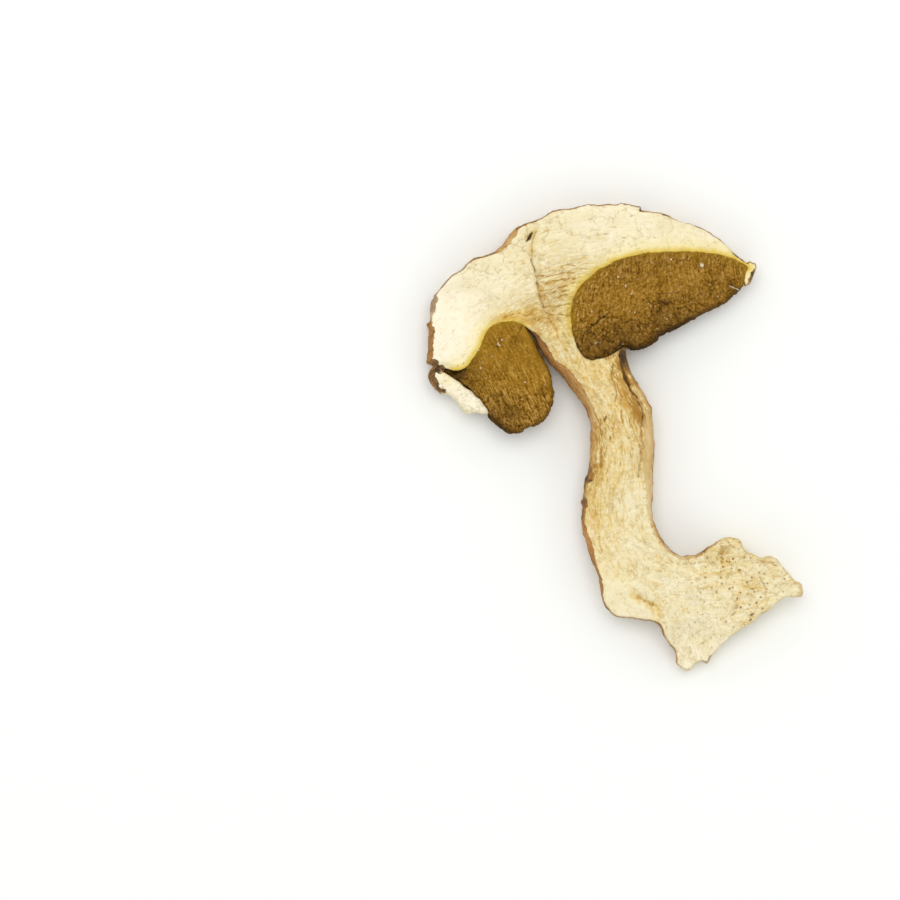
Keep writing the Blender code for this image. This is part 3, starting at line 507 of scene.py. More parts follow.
def inside(xy, loop):
    """Whether each point lies inside the closed loop, by counting the edges it would cross."""
    ax, ay = loop[:, 0], loop[:, 1]
    bx, by = np.roll(ax, -1), np.roll(ay, -1)
    rise = np.where(by == ay, 1.0, by - ay)
    found = []
    for some in np.array_split(xy, max(1, len(xy) // POINTS_AT_A_TIME)):
        x, y = some[:, :1], some[:, 1:2]
        spans = (ay > y) != (by > y)
        crossed = spans & (x < (bx - ax) * (y - ay) / rise + ax)
        found.append(crossed.sum(1) % 2 == 1)
    return np.concatenate(found)


def blended(places, reach, xy):
    """Smooth values over x, y from a few places with known values, each of which counts about this far."""
    known = np.array(places, float)
    away = (xy[:, :1] - known[:, 0]) ** 2 + (xy[:, 1:2] - known[:, 1]) ** 2
    weight = np.exp(-away / (2 * reach**2)) + 1e-9
    return weight @ known[:, 2] / weight.sum(1)


def ramp(value, start, end):
    """0 before start, 1 after end, and smooth between."""
    t = np.clip((value - start) / (end - start), 0, 1)
    return t * t * (3 - 2 * t)


def hashed(ix, iy, seed):
    """A steady random value from 0 to 1 for each whole-numbered place.

    The large numbers only scatter the bits of the place.
    """
    h = ix.astype(np.uint32) * np.uint32(374761393) + iy.astype(np.uint32) * np.uint32(668265263)
    h = h + np.uint32(seed * 1013904223 % 4294967296)
    h = (h ^ (h >> np.uint32(13))) * np.uint32(1274126177)
    h = (h ^ (h >> np.uint32(16))) * np.uint32(2246822519)
    return ((h >> np.uint32(8)) & np.uint32(0xFFFF)) / 65535.0


# Moves every place to the positive side before its cell is counted.
FIRST_CELL = 1000.0


def waves(xy, size, seed):
    """Smooth unevenness from -1 to 1 with bumps of about this size."""
    p = xy / size + FIRST_CELL
    cell = np.floor(p).astype(np.int64)
    t = p - cell
    t = t * t * (3 - 2 * t)
    ix, iy = cell[:, 0], cell[:, 1]
    low = hashed(ix, iy, seed) * (1 - t[:, 0]) + hashed(ix + 1, iy, seed) * t[:, 0]
    high = hashed(ix, iy + 1, seed) * (1 - t[:, 0]) + hashed(ix + 1, iy + 1, seed) * t[:, 0]
    return 2 * (low * (1 - t[:, 1]) + high * t[:, 1]) - 1


def rough(xy, size, seed, octaves=3):
    """Unevenness with finer and finer bumps on top of each other."""
    total = sum(waves(xy, size / 2**k, seed + 17 * k) / 2**k for k in range(octaves))
    return total / sum(1 / 2**k for k in range(octaves))


def swayed(xy, by, size, seed):
    """The places moved about a little, so that what is drawn on them is uneven."""
    return xy + by * np.c_[rough(xy, size, seed, 2), rough(xy, size, seed + 5, 2)]


def outline(points, closed):
    """The curve through the points of an outline, made ragged. Pieces that meet get the same raggedness."""
    path = spline(points, closed)
    path[:, :2] = swayed(path[:, :2], RAGGED, RAGGED_LENGTH, 101)
    return path


# How many of its widths a drawn line or dot reaches to each side.
LINE_REACH = 1.6


def near(xy, points, width):
    """1 on the line, and falling evenly to 0 at the end of its reach."""
    path = spline(points, False)
    reach = LINE_REACH * width
    low, high = path[:, :2].min(0) - reach, path[:, :2].max(0) + reach
    share = np.zeros(len(xy))
    close = np.flatnonzero(((xy > low) & (xy < high)).all(1))
    if len(close):
        share[close] = np.clip(1 - nearest(xy[close], path, False)[:, 0] / reach, 0, 1)
    return share


def folds(xy):
    """How far the large folds lower the front face."""
    lowered = np.zeros(len(xy))
    for points, depth, width in FOLDS:
        lowered += depth * ramp(near(xy, points, 1.5 * width), 0, 1)
    return lowered


# The smooth slope at the outside of the bend: which way it falls, where it starts, its rise and width.
BEND_OUTWARD = (-0.55, -0.83)
BEND_START = 18.2
BEND_SLOPE = 0.32
BEND_WIDTH = 4


def bend_slope(xy):
    """How far the slope at the outside of the bend lowers the front face."""
    beyond = np.clip(xy @ BEND_OUTWARD - BEND_START, 0, BEND_WIDTH)
    return BEND_SLOPE * beyond * ramp(xy[:, 0], 7.5, 3.5) * ramp(xy[:, 1], -16, -19)


def cut_faces(xy):
    """Heights of the back and the front face of the slice, as if it had no edges."""
    back = blended(LIFT, LIFT_REACH, xy) + 0.15 * waves(xy, 5.0, 3)
    back = np.maximum(back, LOWEST_BETWEEN_FEET)
    for x, y, radius in FEET:
        away = np.hypot(xy[:, 0] - x, xy[:, 1] - y)
        share = ramp(-away, -radius - FOOT_SLOPE, -radius)
        back = back * (1 - share) - FOOT_DIP * share
    thick = blended(THICKNESS, THICKNESS_REACH, xy)
    front = back + thick - folds(xy) - bend_slope(xy) + 0.18 * waves(xy, 4.0, 9)
    return back, front


def under_lobe(xy):
    """1 where the top of the stem lies under the lobe of the right tubes, and 0 where it is bare."""
    loop = outline(RIGHT_LOBE + RIGHT_SEAM, True)
    depth = np.where(inside(xy, loop), 1, -1) * nearest(xy, loop, True)[:, 0]
    return ramp(depth, -0.2, 0.35) * ramp(xy[:, 0], -6.6, -5.4) * ramp(-xy[:, 1], -16.8, -15.8)


def flesh_faces(xy):
    """Heights of the flesh's back and front face, which is lowered under the lobe."""
    back, front = cut_faces(xy)
    return back, front - LOWERED_UNDER_LOBE * under_lobe(xy)


# How far the back of the tubes is above the top of the stem, and elsewhere above the back of the flesh.
ABOVE_STEM = 0.15
ABOVE_BACK = 0.2


def tube_faces(xy, flesh_loop, recess):
    """The tubes dried a little lower than the flesh, and their back rises over the top of the stem."""
    back, front = cut_faces(xy)
    stem_front = front - LOWERED_UNDER_LOBE * under_lobe(xy)
    outside = np.where(inside(xy, flesh_loop), 0, nearest(xy, flesh_loop, True)[:, 0])
    over = ramp(-outside, -0.9, -0.3) * ramp(xy[:, 0], -7.2, -6.4) * ramp(-xy[:, 1], -17.6, -16.8)
    over = over * ramp(-xy[:, 0], -2.6, -2.2)
    return back + (stem_front + ABOVE_STEM - back) * over + ABOVE_BACK * (1 - over), front - recess


def rounded(distance, wall):
    """Share of the full height that a rounded edge has reached at this distance from the rim."""
    t = np.clip(1 - distance / wall, 0, 1)
    return np.sqrt(1 - t * t)


def evaluated_mesh(obj):
    """A new mesh of the object with its modifiers applied."""
    bpy.context.view_layer.update()
    graph = bpy.context.evaluated_depsgraph_get()
    return bpy.data.meshes.new_from_object(obj.evaluated_get(graph))


def slab(name, loop, grid):
    """The outline as a flat plate with an even grid of vertices."""
    plate = bmesh.new()
    corners = [plate.verts.new((x * MM, y * MM, -SLAB_HALF * MM)) for x, y in loop[:, :2]]
    edges = [plate.edges.new(pair) for pair in zip(corners, corners[1:] + corners[:1])]
    face = bmesh.ops.contextual_create(plate, geom=edges)["faces"]
    raised = bmesh.ops.extrude_face_region(plate, geom=face)["geom"]
    top = [v for v in raised if isinstance(v, bmesh.types.BMVert)]
    bmesh.ops.translate(plate, vec=(0, 0, 2 * SLAB_HALF * MM), verts=top)
    bmesh.ops.recalc_face_normals(plate, faces=plate.faces)
    mesh = bpy.data.meshes.new(name)
    plate.to_mesh(mesh)
    plate.free()

    source = bpy.data.objects.new(name, mesh)
    bpy.context.scene.collection.objects.link(source)
    even = source.modifiers.new("even_grid", "REMESH")
    even.mode = "VOXEL"
    even.voxel_size = grid
    fine = evaluated_mesh(source)
    bpy.data.objects.remove(source)
    return fine


def positions(mesh):
    co = np.empty(len(mesh.vertices) * 3)
    mesh.vertices.foreach_get("co", co)
    return co.reshape(-1, 3) / MM


def move_to(mesh, co):
    mesh.vertices.foreach_set("co", (co * MM).ravel())
    mesh.update()


def normals(mesh):
    n = np.empty(len(mesh.vertices) * 3, np.float32)
    mesh.vertices.foreach_get("normal", n)
    return n.reshape(-1, 3).astype(float)


def note(mesh, name, values):
    """Keeps a value for each vertex, for the material to read."""
    attribute = mesh.attributes.new(name, "FLOAT", "POINT")
    attribute.data.foreach_set("value", values.astype(np.float32))


def note_place(mesh, name, xy, z):
    """Keeps a second set of coordinates for each vertex, in metres, for the material to read."""
    attribute = mesh.attributes.new(name, "FLOAT_VECTOR", "POINT")
    attribute.data.foreach_set("vector", (np.c_[xy, z] * MM).astype(np.float32).ravel())


# What share of the thickness a rounded edge takes, how much more by millimetre of wall, and its limits.
EDGE_DROP = 0.12
EDGE_DROP_BY_WALL = 0.3
LEAST_EDGE_DROP = 0.2
MOST_EDGE_DROP = 0.65


def edge_profile(co, loop, faces):
    """Puts the flat plate's vertices on to the two cut faces and the rounded wall between them."""
    level = np.clip(co[:, 2] / SLAB_HALF, -1, 1) / 2 + 0.5
    back, front = faces
    distance, wall = nearest(co[:, :2], loop, True)[:, :2].T
    thick = front - back
    drop = np.clip(EDGE_DROP + EDGE_DROP_BY_WALL * wall, LEAST_EDGE_DROP, MOST_EDGE_DROP)
    drop = drop * ramp(wall, 0.05, 0.3)
    front = front - drop * thick * (1 - rounded(distance, wall))
    back = back + 0.5 * drop * thick * (1 - rounded(distance, 0.7 * wall))
    shaped = co.copy()
    shaped[:, 2] = back + level * (front - back)
    return shaped, level


def shares_of_faces(level):
    """How much each vertex belongs to the front face, and how much to the back face."""
    return ramp(level, 0.55, 0.95), ramp(level, 0.45, 0.05)


# How far the coordinates along a wall shift for each millimetre of height.
WALL_SLANT = 0.6


def up_the_wall(xy, z):
    """Coordinates that change up a wall too, so that unevenness isn't drawn out on it."""
    return np.c_[xy[:, 0] + WALL_SLANT * z, xy[:, 1] - WALL_SLANT * z]


def finished(name, mesh, co, node, material):
    """Makes the object from the final vertices, cut flat at the table, and puts it in its solid's place."""
    co[:, 2] = np.maximum(co[:, 2], 0.0)
    co[:, :2] -= MIDDLE
    move_to(mesh, co)
    mesh.materials.clear()
    mesh.materials.append(material)
    mesh.shade_smooth()
    obj = bpy.data.objects.new(name, mesh)
    bpy.context.scene.collection.objects.link(obj)
    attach(obj, "root")
    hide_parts(node)


class Value:
    """One output socket, with operators that add the Math nodes for an expression."""

    def __init__(self, sheet, socket):
        self.sheet = sheet
        self.socket = socket

    def _math(self, operation, *values):
        return self.sheet.node("ShaderNodeMath", {"operation": operation}, dict(enumerate(values)))

    def __add__(self, other):
        return self._math("ADD", self, other)

    def __radd__(self, other):
        return self._math("ADD", other, self)

    def __sub__(self, other):
        return self._math("SUBTRACT", self, other)

    def __rsub__(self, other):
        return self._math("SUBTRACT", other, self)

    def __mul__(self, other):
        return self._math("MULTIPLY", self, other)

    def __rmul__(self, other):
        return self._math("MULTIPLY", other, self)

    def __abs__(self):
        return self._math("ABSOLUTE", self)


# Height of the finest relief, which the materials add as bump, for a value of 1.
BUMP_HEIGHT = 0.1
# Between these lie most values of the noise texture.
NOISE_LOW = 0.28
NOISE_HIGH = 0.72


class Sheet:
    """The node tree of one material."""

    def __init__(self, name):
        self.material = bpy.data.materials.new(name)
        self.material.use_nodes = True
        self.tree = self.material.node_tree
        self.shader = self.tree.nodes["Principled BSDF"]

    def node(self, kind, settings, sockets, output=0):
        """Adds a node, with its settings first and then values or links for its sockets."""
        made = self.tree.nodes.new(kind)
        for key, value in settings.items():
            setattr(made, key, value)
        for key, value in sockets.items():
            self.feed(made.inputs[key], value)
        return Value(self, made.outputs[output])

    def feed(self, socket, value):
        if isinstance(value, Value):
            self.tree.links.new(value.socket, socket)
        elif socket.type == "RGBA":
            socket.default_value = (*value, 1)
        else:
            socket.default_value = value

    def noted(self, name, output="Fac"):
        return self.node("ShaderNodeAttribute", {"attribute_name": name}, {}, output)

    def place(self):
        return self.node("ShaderNodeTexCoord", {}, {}, "Object")

    def drawn_out(self, place, share):
        """The same places with the first coordinate pressed together, so that what is drawn gets longer."""
        return self.node("ShaderNodeMapping", {}, {"Vector": place, "Scale": (share, 1, 1)})

    def noise(self, place, size, detail, roughness):
        """Noise with features of about this size in millimetres, spread to run from 0 to 1."""
        sockets = {"Vector": place, "Scale": 1 / (size * MM), "Detail": detail, "Roughness": roughness}
        return self.spread(self.node("ShaderNodeTexNoise", {}, sockets, "Fac"), NOISE_LOW, NOISE_HIGH)

    def cells(self, place, size, output="Distance"):
        """Irregular cells of about this size in millimetres."""
        sockets = {"Vector": place, "Scale": 1 / (size * MM)}
        return self.node("ShaderNodeTexVoronoi", {"feature": "F1"}, sockets, output)

    def ramp(self, value, *stops):
        """Colours along a value. Each stop is a position and a colour."""
        made = self.tree.nodes.new("ShaderNodeValToRGB")
        elements = made.color_ramp.elements
        while len(elements) < len(stops):
            elements.new(0.5)
        for element, (position, colour) in zip(elements, stops):
            element.position = position
            element.color = (*colour, 1)
        self.feed(made.inputs["Fac"], value)
        return Value(self, made.outputs["Color"])

    def spread(self, value, low, high):
        """The value with low turned to 0 and high to 1, held between them."""
        sockets = {"Value": value, "From Min": low, "From Max": high}
        return self.node("ShaderNodeMapRange", {"clamp": True}, sockets, "Result")

    def mix(self, share, first, second):
        """The first colour turned towards the second by this share."""
        made = self.tree.nodes.new("ShaderNodeMix")
        made.data_type = "RGBA"
        for key, value in (("Factor_Float", share), ("A_Color", first), ("B_Color", second)):
            socket = next(s for s in made.inputs if s.identifier == key)
            self.feed(socket, value)
        return Value(self, next(s for s in made.outputs if s.identifier == "Result_Color"))

    def finish(self, colour, roughness, height, strength, specular):
        bump = {"Strength": strength, "Distance": BUMP_HEIGHT * MM, "Height": height}
        self.feed(self.shader.inputs["Base Color"], colour)
        self.feed(self.shader.inputs["Roughness"], roughness)
        self.feed(self.shader.inputs["Normal"], self.node("ShaderNodeBump", {}, bump, "Normal"))
        self.shader.inputs["Metallic"].default_value = 0
        self.shader.inputs["Specular IOR Level"].default_value = specular
        return self.material


def fibres(sheet, place, stretch):
    """Thin streaks and broader bands along the first coordinate, and wandering fine lines."""
    thin = sheet.noise(sheet.drawn_out(place, 0.15 * stretch), 0.27, 4.0, 0.7)
    broad = sheet.noise(sheet.drawn_out(place, 0.2 * stretch), 0.8, 4.0, 0.6)
    lines = sheet.noise(sheet.drawn_out(place, 0.5), 1.4, 5.0, 0.6)
    return thin - 0.5, broad - 0.5, abs(lines - 0.5)


def flesh_material(colours):
    """White to ochre flesh with fibres, stains, wrinkles and pits, and a brown rind on its edges."""
    sheet = Sheet("dried_flesh")
    here = sheet.place()
    stem = sheet.noted("stem")
    grain = sheet.noted("grain")
    fine = sheet.noise(here, 0.33, 4.0, 0.7)
    ragged = sheet.noise(here, 0.8, 4.0, 0.6)
    cloud = sheet.noise(here, 2.6, 4.0, 0.6)
    tip = fibres(sheet, sheet.noted("tip_place", "Vector"), 1)
    heel = fibres(sheet, sheet.noted("heel_place", "Vector"), 1)
    crown = sheet.noted("cap_place", "Vector")
    cap = fibres(sheet, crown, 1.6)
    to_heel = sheet.noted("to_heel")
    foot = [a + (b - a) * to_heel for a, b in zip(tip, heel)]
    thin, broad, net = (a + (b - a) * stem for a, b in zip(cap, foot))

    # The colour of bare flesh, and the yellow line along the tubes.
    tone = sheet.noted("tone") + (thin * 0.55 + broad * 0.34 + (fine - 0.5) * 0.15) * grain
    tone = tone + (fine - 0.5) * 0.16 + (ragged - 0.5) * 0.14 + (cloud - 0.5) * 0.15
    tone = tone + sheet.noted("rust") * 0.1
    flesh = sheet.ramp(
        tone,
        (0.0, colours.white_flesh),
        (0.35, colours.cream_flesh),
        (0.6, colours.ochre_flesh),
        (0.85, colours.rust_flesh),
        (1.0, colours.brown_flesh),
    )
    seam = sheet.noted("seam") + (ragged - 0.5) * 0.5 + thin * 0.3
    flesh = sheet.mix((1 - sheet.spread(seam, 0.0, 2.6)) * 0.75, flesh, colours.cream_seam)
    flesh = sheet.mix(1 - sheet.spread(seam, 0.25, 1.0), flesh, colours.yellow_seam)

    # The fine net of the stem, wandering creases, and wrinkles beside the tubes.
    net = (1 - sheet.spread(net, 0.0, 0.07)) * sheet.spread(cloud, 0.25, 0.65)
    flesh = sheet.mix(net * grain * 0.65, flesh, colours.fibre_dark)
    long_lines = 1 - sheet.spread(abs(sheet.noise(here, 4.0, 5.0, 0.55) - 0.5), 0.0, 0.035)
    short_lines = 1 - sheet.spread(abs(sheet.noise(here, 1.6, 4.0, 0.6) - 0.5), 0.0, 0.08)
    crease = (long_lines * (1.1 - stem * 0.3) + short_lines * (stem * 0.65 + 0.1)) * sheet.noted("creased")
    crease = crease * sheet.spread(ragged, 0.15, 0.6)
    flesh = sheet.mix(crease * 0.5, flesh, colours.crease_olive)
    drawn = sheet.noise(sheet.drawn_out(crown, 0.22), 0.6, 4.0, 0.6)
    wrinkle = (1 - sheet.spread(abs(drawn - 0.5), 0.0, 0.13)) * sheet.noted("wrinkled")
    flesh = sheet.mix(wrinkle * 0.5, flesh, colours.wrinkle_ochre)

    # The drawn stains, streaks and pits, and the freckles of the foot.
    gold = sheet.spread(sheet.noted("gold") + (ragged - 0.5) * 0.6 + thin * 0.8, 0.15, 1.1)
    flesh = sheet.mix(gold * 0.75, flesh, colours.gold_stain)
    rust = sheet.noted("rust") * (1 + thin * 1.6 + broad * 0.8)
    rust = sheet.spread(rust + (ragged - 0.5) * 0.5 + thin * 0.7, 0.2, 1.0)
    # Rust streaks, and the painted shadow below the edge of the right tubes.
    flesh = sheet.mix(rust * 0.8, flesh, colours.rust_stain_and_shade)
    grey = sheet.spread(sheet.noted("grey") + (ragged - 0.5) * 0.5 + (fine - 0.5) * 0.4, 0.3, 0.9)
    flesh = sheet.mix(grey * 0.8, flesh, colours.grey_wrinkles)
    freckle = sheet.cells(here, 0.75) + (fine - 0.5) * 0.4
    chosen = sheet.spread(sheet.cells(here, 0.75, "Color"), 0.4, 0.55)
    freckle = (1 - sheet.spread(freckle, 0.14, 0.3)) * chosen * sheet.noted("freckled")
    flesh = sheet.mix(freckle, flesh, colours.olive_spots)
    dots = sheet.spread(sheet.noted("olive") + (fine - 0.5) * 0.4, 0.3, 0.8)
    flesh = sheet.mix(dots * 0.85, flesh, colours.olive_spots)
    # Pits, cracks and deep folds: partly brown staining, partly painted shade in them.
    dark = sheet.spread(sheet.noted("dark") + (ragged - 0.5) * 0.4 + thin * 0.3, 0.25, 0.85)
    flesh = sheet.mix(dark * 0.95, flesh, colours.dark_pits_and_shade)

    # Skin and rind, over all the rest.
    rind_tone = sheet.noted("rind_tone") + (fine - 0.5) * 0.25 + thin * 0.6 + broad * 0.35
    rind = sheet.ramp(
        rind_tone,
        (0.0, colours.tan_rind),
        (0.35, colours.orange_skin),
        (0.65, colours.brown_skin),
        (1.0, colours.dark_skin),
    )
    covered = sheet.spread(sheet.noted("rind") + (ragged - 0.5) * 0.25 + (fine - 0.5) * 0.1, -0.04, 0.05)
    colour = sheet.mix(covered * sheet.noted("skin"), flesh, rind)
    height = fine * 0.5 + thin * grain + broad * grain * 0.7
    height = height - (net * grain * 0.5 + wrinkle * 0.8 + crease * 0.6 + dark + grey * 0.5)
    return sheet.finish(colour, 0.78 + fine * 0.15, height, 0.8, 0.12)


def tube_material(colours):
    """Golden-brown tubes cut lengthwise: pale walls and dark channels, with free ends darker from browner
    tubes and painted shade.
    """
    sheet = Sheet("dried_tubes")
    here = sheet.place()
    tube_place = sheet.noted("tube_place", "Vector")
    thin = sheet.noise(sheet.drawn_out(tube_place, 0.11), 0.26, 4.0, 0.68) - 0.5
    grain = sheet.noise(here, 0.36, 5.0, 0.78) - 0.5
    blotch = sheet.noise(here, 1.9, 5.0, 0.65) - 0.5
    pores = sheet.cells(sheet.drawn_out(tube_place, 0.5), 0.34) - 0.45
    stain = sheet.noted("stain") + blotch * 0.5
    # Curls and valleys lie low in the relief and are painted darker: painted shade, deepest in the stained
    # parts.
    curls = 1 - sheet.spread(abs(sheet.noise(here, 1.1, 5.0, 0.7) - 0.5), 0.0, 0.12)
    hollows = sheet.noted("valleys") * 0.6 + curls * 0.4
    # The edge mark darkens the free edges and steep walls: partly browner tube ends, partly painted shade.
    edge = sheet.spread(sheet.noted("edge") + grain * 0.4 + blotch * 0.3, 0.1, 1.0)
    golden = sheet.noted("golden")
    value = 0.63 + thin * sheet.noted("striped") * 1.6 + pores * (0.3 - golden * 0.16) + blotch * 0.32
    value = value + grain * (0.78 + sheet.noted("stain") * 0.5 - golden * 0.25)
    value = value - hollows * (0.06 + sheet.noted("stain") * 0.5) - edge * 0.25
    tubes = sheet.ramp(
        value,
        (0.1, colours.tube_channel),
        (0.35, colours.tube_hollow),
        (0.55, colours.tube_wall),
        (0.75, colours.tube_light),
        (1.0, colours.tube_pale),
    )
    tubes = sheet.mix(golden * (0.6 + blotch), tubes, colours.golden_tubes)
    seam = sheet.noted("seam") + thin * 0.8 + blotch * 0.6
    tubes = sheet.mix((1 - sheet.spread(seam, 0.0, 1.3)) * 0.6, tubes, colours.olive_tubes)
    # Browner tubes, with painted shade along the lower edge of the right tubes and in the gap by the flap.
    tubes = sheet.mix(sheet.spread(stain, 0.15, 1.3) * 0.85, tubes, colours.tube_stain_and_shade)
    tubes = sheet.mix(edge * 0.6, tubes, colours.tube_edge_and_shade)
    # Painted glints: small pale highlights scattered over the grain of the tubes.
    glint = (1 - sheet.spread(sheet.cells(here, 1.5), 0.05, 0.11)) * sheet.spread(grain, -0.1, 0.2)
    tubes = sheet.mix(glint * 0.6, tubes, colours.specks_and_glints)
    speck = sheet.spread(sheet.noted("speck") + grain * 0.3, 0.25, 0.6)
    tubes = sheet.mix(speck * 0.95, tubes, colours.specks_and_glints)
    height = thin * 0.7 + grain * 0.9 + pores * 0.7 - hollows * 0.6 + speck
    return sheet.finish(tubes, 0.85, height, 1.0, 0.08)


def drawn_marks(xy, lines, dots):
    """Each line and dot in turn: its kind, depth and strength, and how close each point is to it."""
    for kind, width, deep, strength, *points in lines:
        yield kind, deep, strength, near(xy, points, width)
    for kind, radius, deep, strength, *spots in dots:
        for spot in spots:
            away = np.hypot(*(xy - spot).T)
            yield kind, deep, strength, np.clip(1 - away / (LINE_REACH * radius), 0, 1)


def stained(xy, lines, dots):
    """How close each point is to the drawn lines and dots of each kind, and how far they lower the face."""
    fields = {}
    depth = np.zeros(len(xy))
    for kind, deep, strength, share in drawn_marks(xy, lines, dots):
        fields[kind] = np.maximum(fields.get(kind, 0), strength * share)
        depth += deep * share
    return fields, depth


# The lines that the fibres follow: through stem and foot to its tip, and through the stem to the heel.
TIP_SPINE = (
    (-20, 34), (-13, 22), (-8.5, 15.5), (-4.5, 9), (-0.5, 2.5), (1, -4), (0.6, -10), (1.5, -15), (5, -20),
    (10, -22.2), (16, -21.8), (22, -21.2), (34, -22),
)  # fmt: skip
HEEL_SPINE = (
    (-20, 34), (-13, 22), (-8.5, 15.5), (-4.5, 9), (-0.5, 2.5), (1, -4), (0.6, -10), (1.5, -16),
    (4.5, -21.5), (8.2, -26), (11, -30.5), (13.5, -40),
)  # fmt: skip


def flesh_outline():
    """The closed outline of cap, stem and foot."""
    return outline(
        CAP_SKIN + RIGHT_TIP + RIGHT_SEAM + UNDER_LOBE + STEM_RIGHT + FOOT
        + STEM_LEFT + LEFT_SEAM + FLAP_ROOT + FLAP_SEAM + FLAP,
        True,
    )  # fmt: skip


def rind_of_wall(xy):
    """1 on the walls that are the outside of cap and stem, and little on the torn foot and the flap."""
    x, y = xy.T
    torn = ramp(x - 9.3 - 0.32 * (y + 34.5), -1.2, 1.2) * ramp(-y, 14, 15)
    flap = ramp(-x, 18, 19) * ramp(-y, -7.6, -6.6) * ramp(x, -26.5, -25)
    return 1 - 0.85 * np.maximum(torn, flap)


def build_flesh(sizes, colours):
    """Cap, stem and foot in one piece, shaped first and then noted for the material."""
    loop = flesh_outline()
    mesh = slab("flesh", loop, sizes.flesh_grid)
    co = positions(mesh)
    xy = co[:, :2].copy()
    shaped, level = edge_profile(co, loop, flesh_faces(xy))
    uneven = swayed(xy, 0.1, 0.9, 21)
    front, back = shares_of_faces(level)
    distance, _, skin, reach, rind_tone = nearest(uneven, loop, True).T

    fields, depth = stained(swayed(xy, 0.18, 0.8, 31), FLESH_LINES, FLESH_DOTS)
    fields = {name: values * front for name, values in fields.items()}
    depth = depth * front

    # Places along the fibres, by which relief and streaks follow them.
    sway = np.c_[rough(xy, 3.0, 91, 2), 0.35 * rough(xy, 2.2, 92, 2)]
    tip = beside_spine(xy, TIP_SPINE) + sway
    heel = beside_spine(xy, HEEL_SPINE) + sway
    to_heel = ramp(-xy[:, 1] - 0.75 * (xy[:, 0] - 9), 21.5, 29) * ramp(-xy[:, 1], 19, 25)
    stem = ramp(tip[:, 0], 17.0, 23.0) * ramp(-xy[:, 1], -18.5, -15.5)
    crown = np.c_[xy @ (0.9, 0.3), xy[:, 1] + 0.015 * (xy[:, 0] - 2) ** 2] + sway
    strength = blended(GRAIN, GRAIN_REACH, xy)
    wrinkled = blended(WRINKLED, WRINKLED_REACH, xy)
    creased = blended(CREASED, CREASED_REACH, xy)
    reliefs = [
        rough(line * (0.16, 1), 0.35, seed, 2) + 1.6 * rough(line * (0.2, 1), 1.3, seed + 2, 2)
        for line, seed in ((tip, 41), (heel, 61))
    ]
    stem_relief = reliefs[0] + (reliefs[1] - reliefs[0]) * to_heel
    cap_relief = rough(crown * (0.45, 1), 0.4, 43, 2) + 1.3 * rough(crown * (0.6, 1), 1.8, 44, 3)
    relief = (cap_relief + (stem_relief - cap_relief) * stem) * (0.25 + 0.75 * strength)

    tone = blended(TONE, TONE_REACH, xy) + 0.35 * fields["ochre"] + 0.08 * rough(xy, 1.6, 51)

    # The seams without their ends at the right tip and beside the rind of the stem.
    seam = np.minimum(
        nearest(uneven, outline(RIGHT_SEAM[2:], False), False)[:, 0],
        nearest(uneven, outline(LEFT_SEAM[3:], False), False)[:, 0],
    )
    # The two faces get their relief, and then the walls their pleats.
    dented = creased * rough(xy, 1.7, 75, 3) + 0.6 * wrinkled * rough(crown * (0.25, 1), 0.45, 77, 2)
    shaped[:, 2] += front * (sizes.fibre_relief / MM * (relief + 1.2 * dented) - depth * 0.6)
    shaped[:, 2] += front * 0.04 * rough(xy, 0.7, 71)
    shaped[:, 2] -= back * 0.05 * (relief + rough(xy, 0.8, 73))
    move_to(mesh, shaped)
    side = 1 - np.abs(normals(mesh)[:, 2])
    across = up_the_wall(xy, shaped[:, 2])
    pleats = rough(across, 0.7, 81) + rough(np.c_[xy @ (0.5, 0.5), shaped[:, 2]] * (0.6, 2), 1.0, 82)
    shaped += normals(mesh) * (0.12 * side * pleats)[:, None]

    # Steep walls get a darker tone: painted shade.
    note(mesh, "tone", tone + 0.1 * side)
    note(mesh, "grain", strength)
    note(mesh, "wrinkled", wrinkled * front)
    note(mesh, "creased", creased * front)
    note(mesh, "stem", stem)
    note(mesh, "to_heel", to_heel)
    note(mesh, "seam", np.clip(seam, 0, 3) + 3 * (1 - front))
    wall_skin = rind_of_wall(xy + 1.2 * np.c_[rough(across, 1.3, 88), rough(across, 1.5, 89)])
    below_rim = ramp(-level - 0.15 * rough(across, 1.0, 87), -1.05, -0.88)
    on_wall = distance < 0.8
    deep = ramp(side, 0.4, 0.8) * below_rim * on_wall
    blotches = rough(np.c_[xy @ (0.6, 0.8), 2.5 * shaped[:, 2]], 1.2, 86)
    mottled = 0.5 + 0.3 * rough(across, 2.2, 85) + 0.25 * blotches
    note(mesh, "rind", np.clip(reach - distance, -1, 1) + 1.5 * ramp(side, 0.6, 0.9) * on_wall)
    note(mesh, "skin", skin + deep * (wall_skin - skin))
    note(mesh, "rind_tone", rind_tone + deep * (mottled - rind_tone))
    note(mesh, "freckled", blended(FRECKLED, FRECKLED_REACH, xy) * front)
    for name in ("grey", "olive", "dark", "rust", "gold"):
        note(mesh, name, fields[name])
    note_place(mesh, "tip_place", tip, shaped[:, 2])
    note_place(mesh, "heel_place", heel, shaped[:, 2])
    note_place(mesh, "cap_place", crown, shaped[:, 2])
    finished("flesh", mesh, shaped, "cap_and_stem", flesh_material(colours))


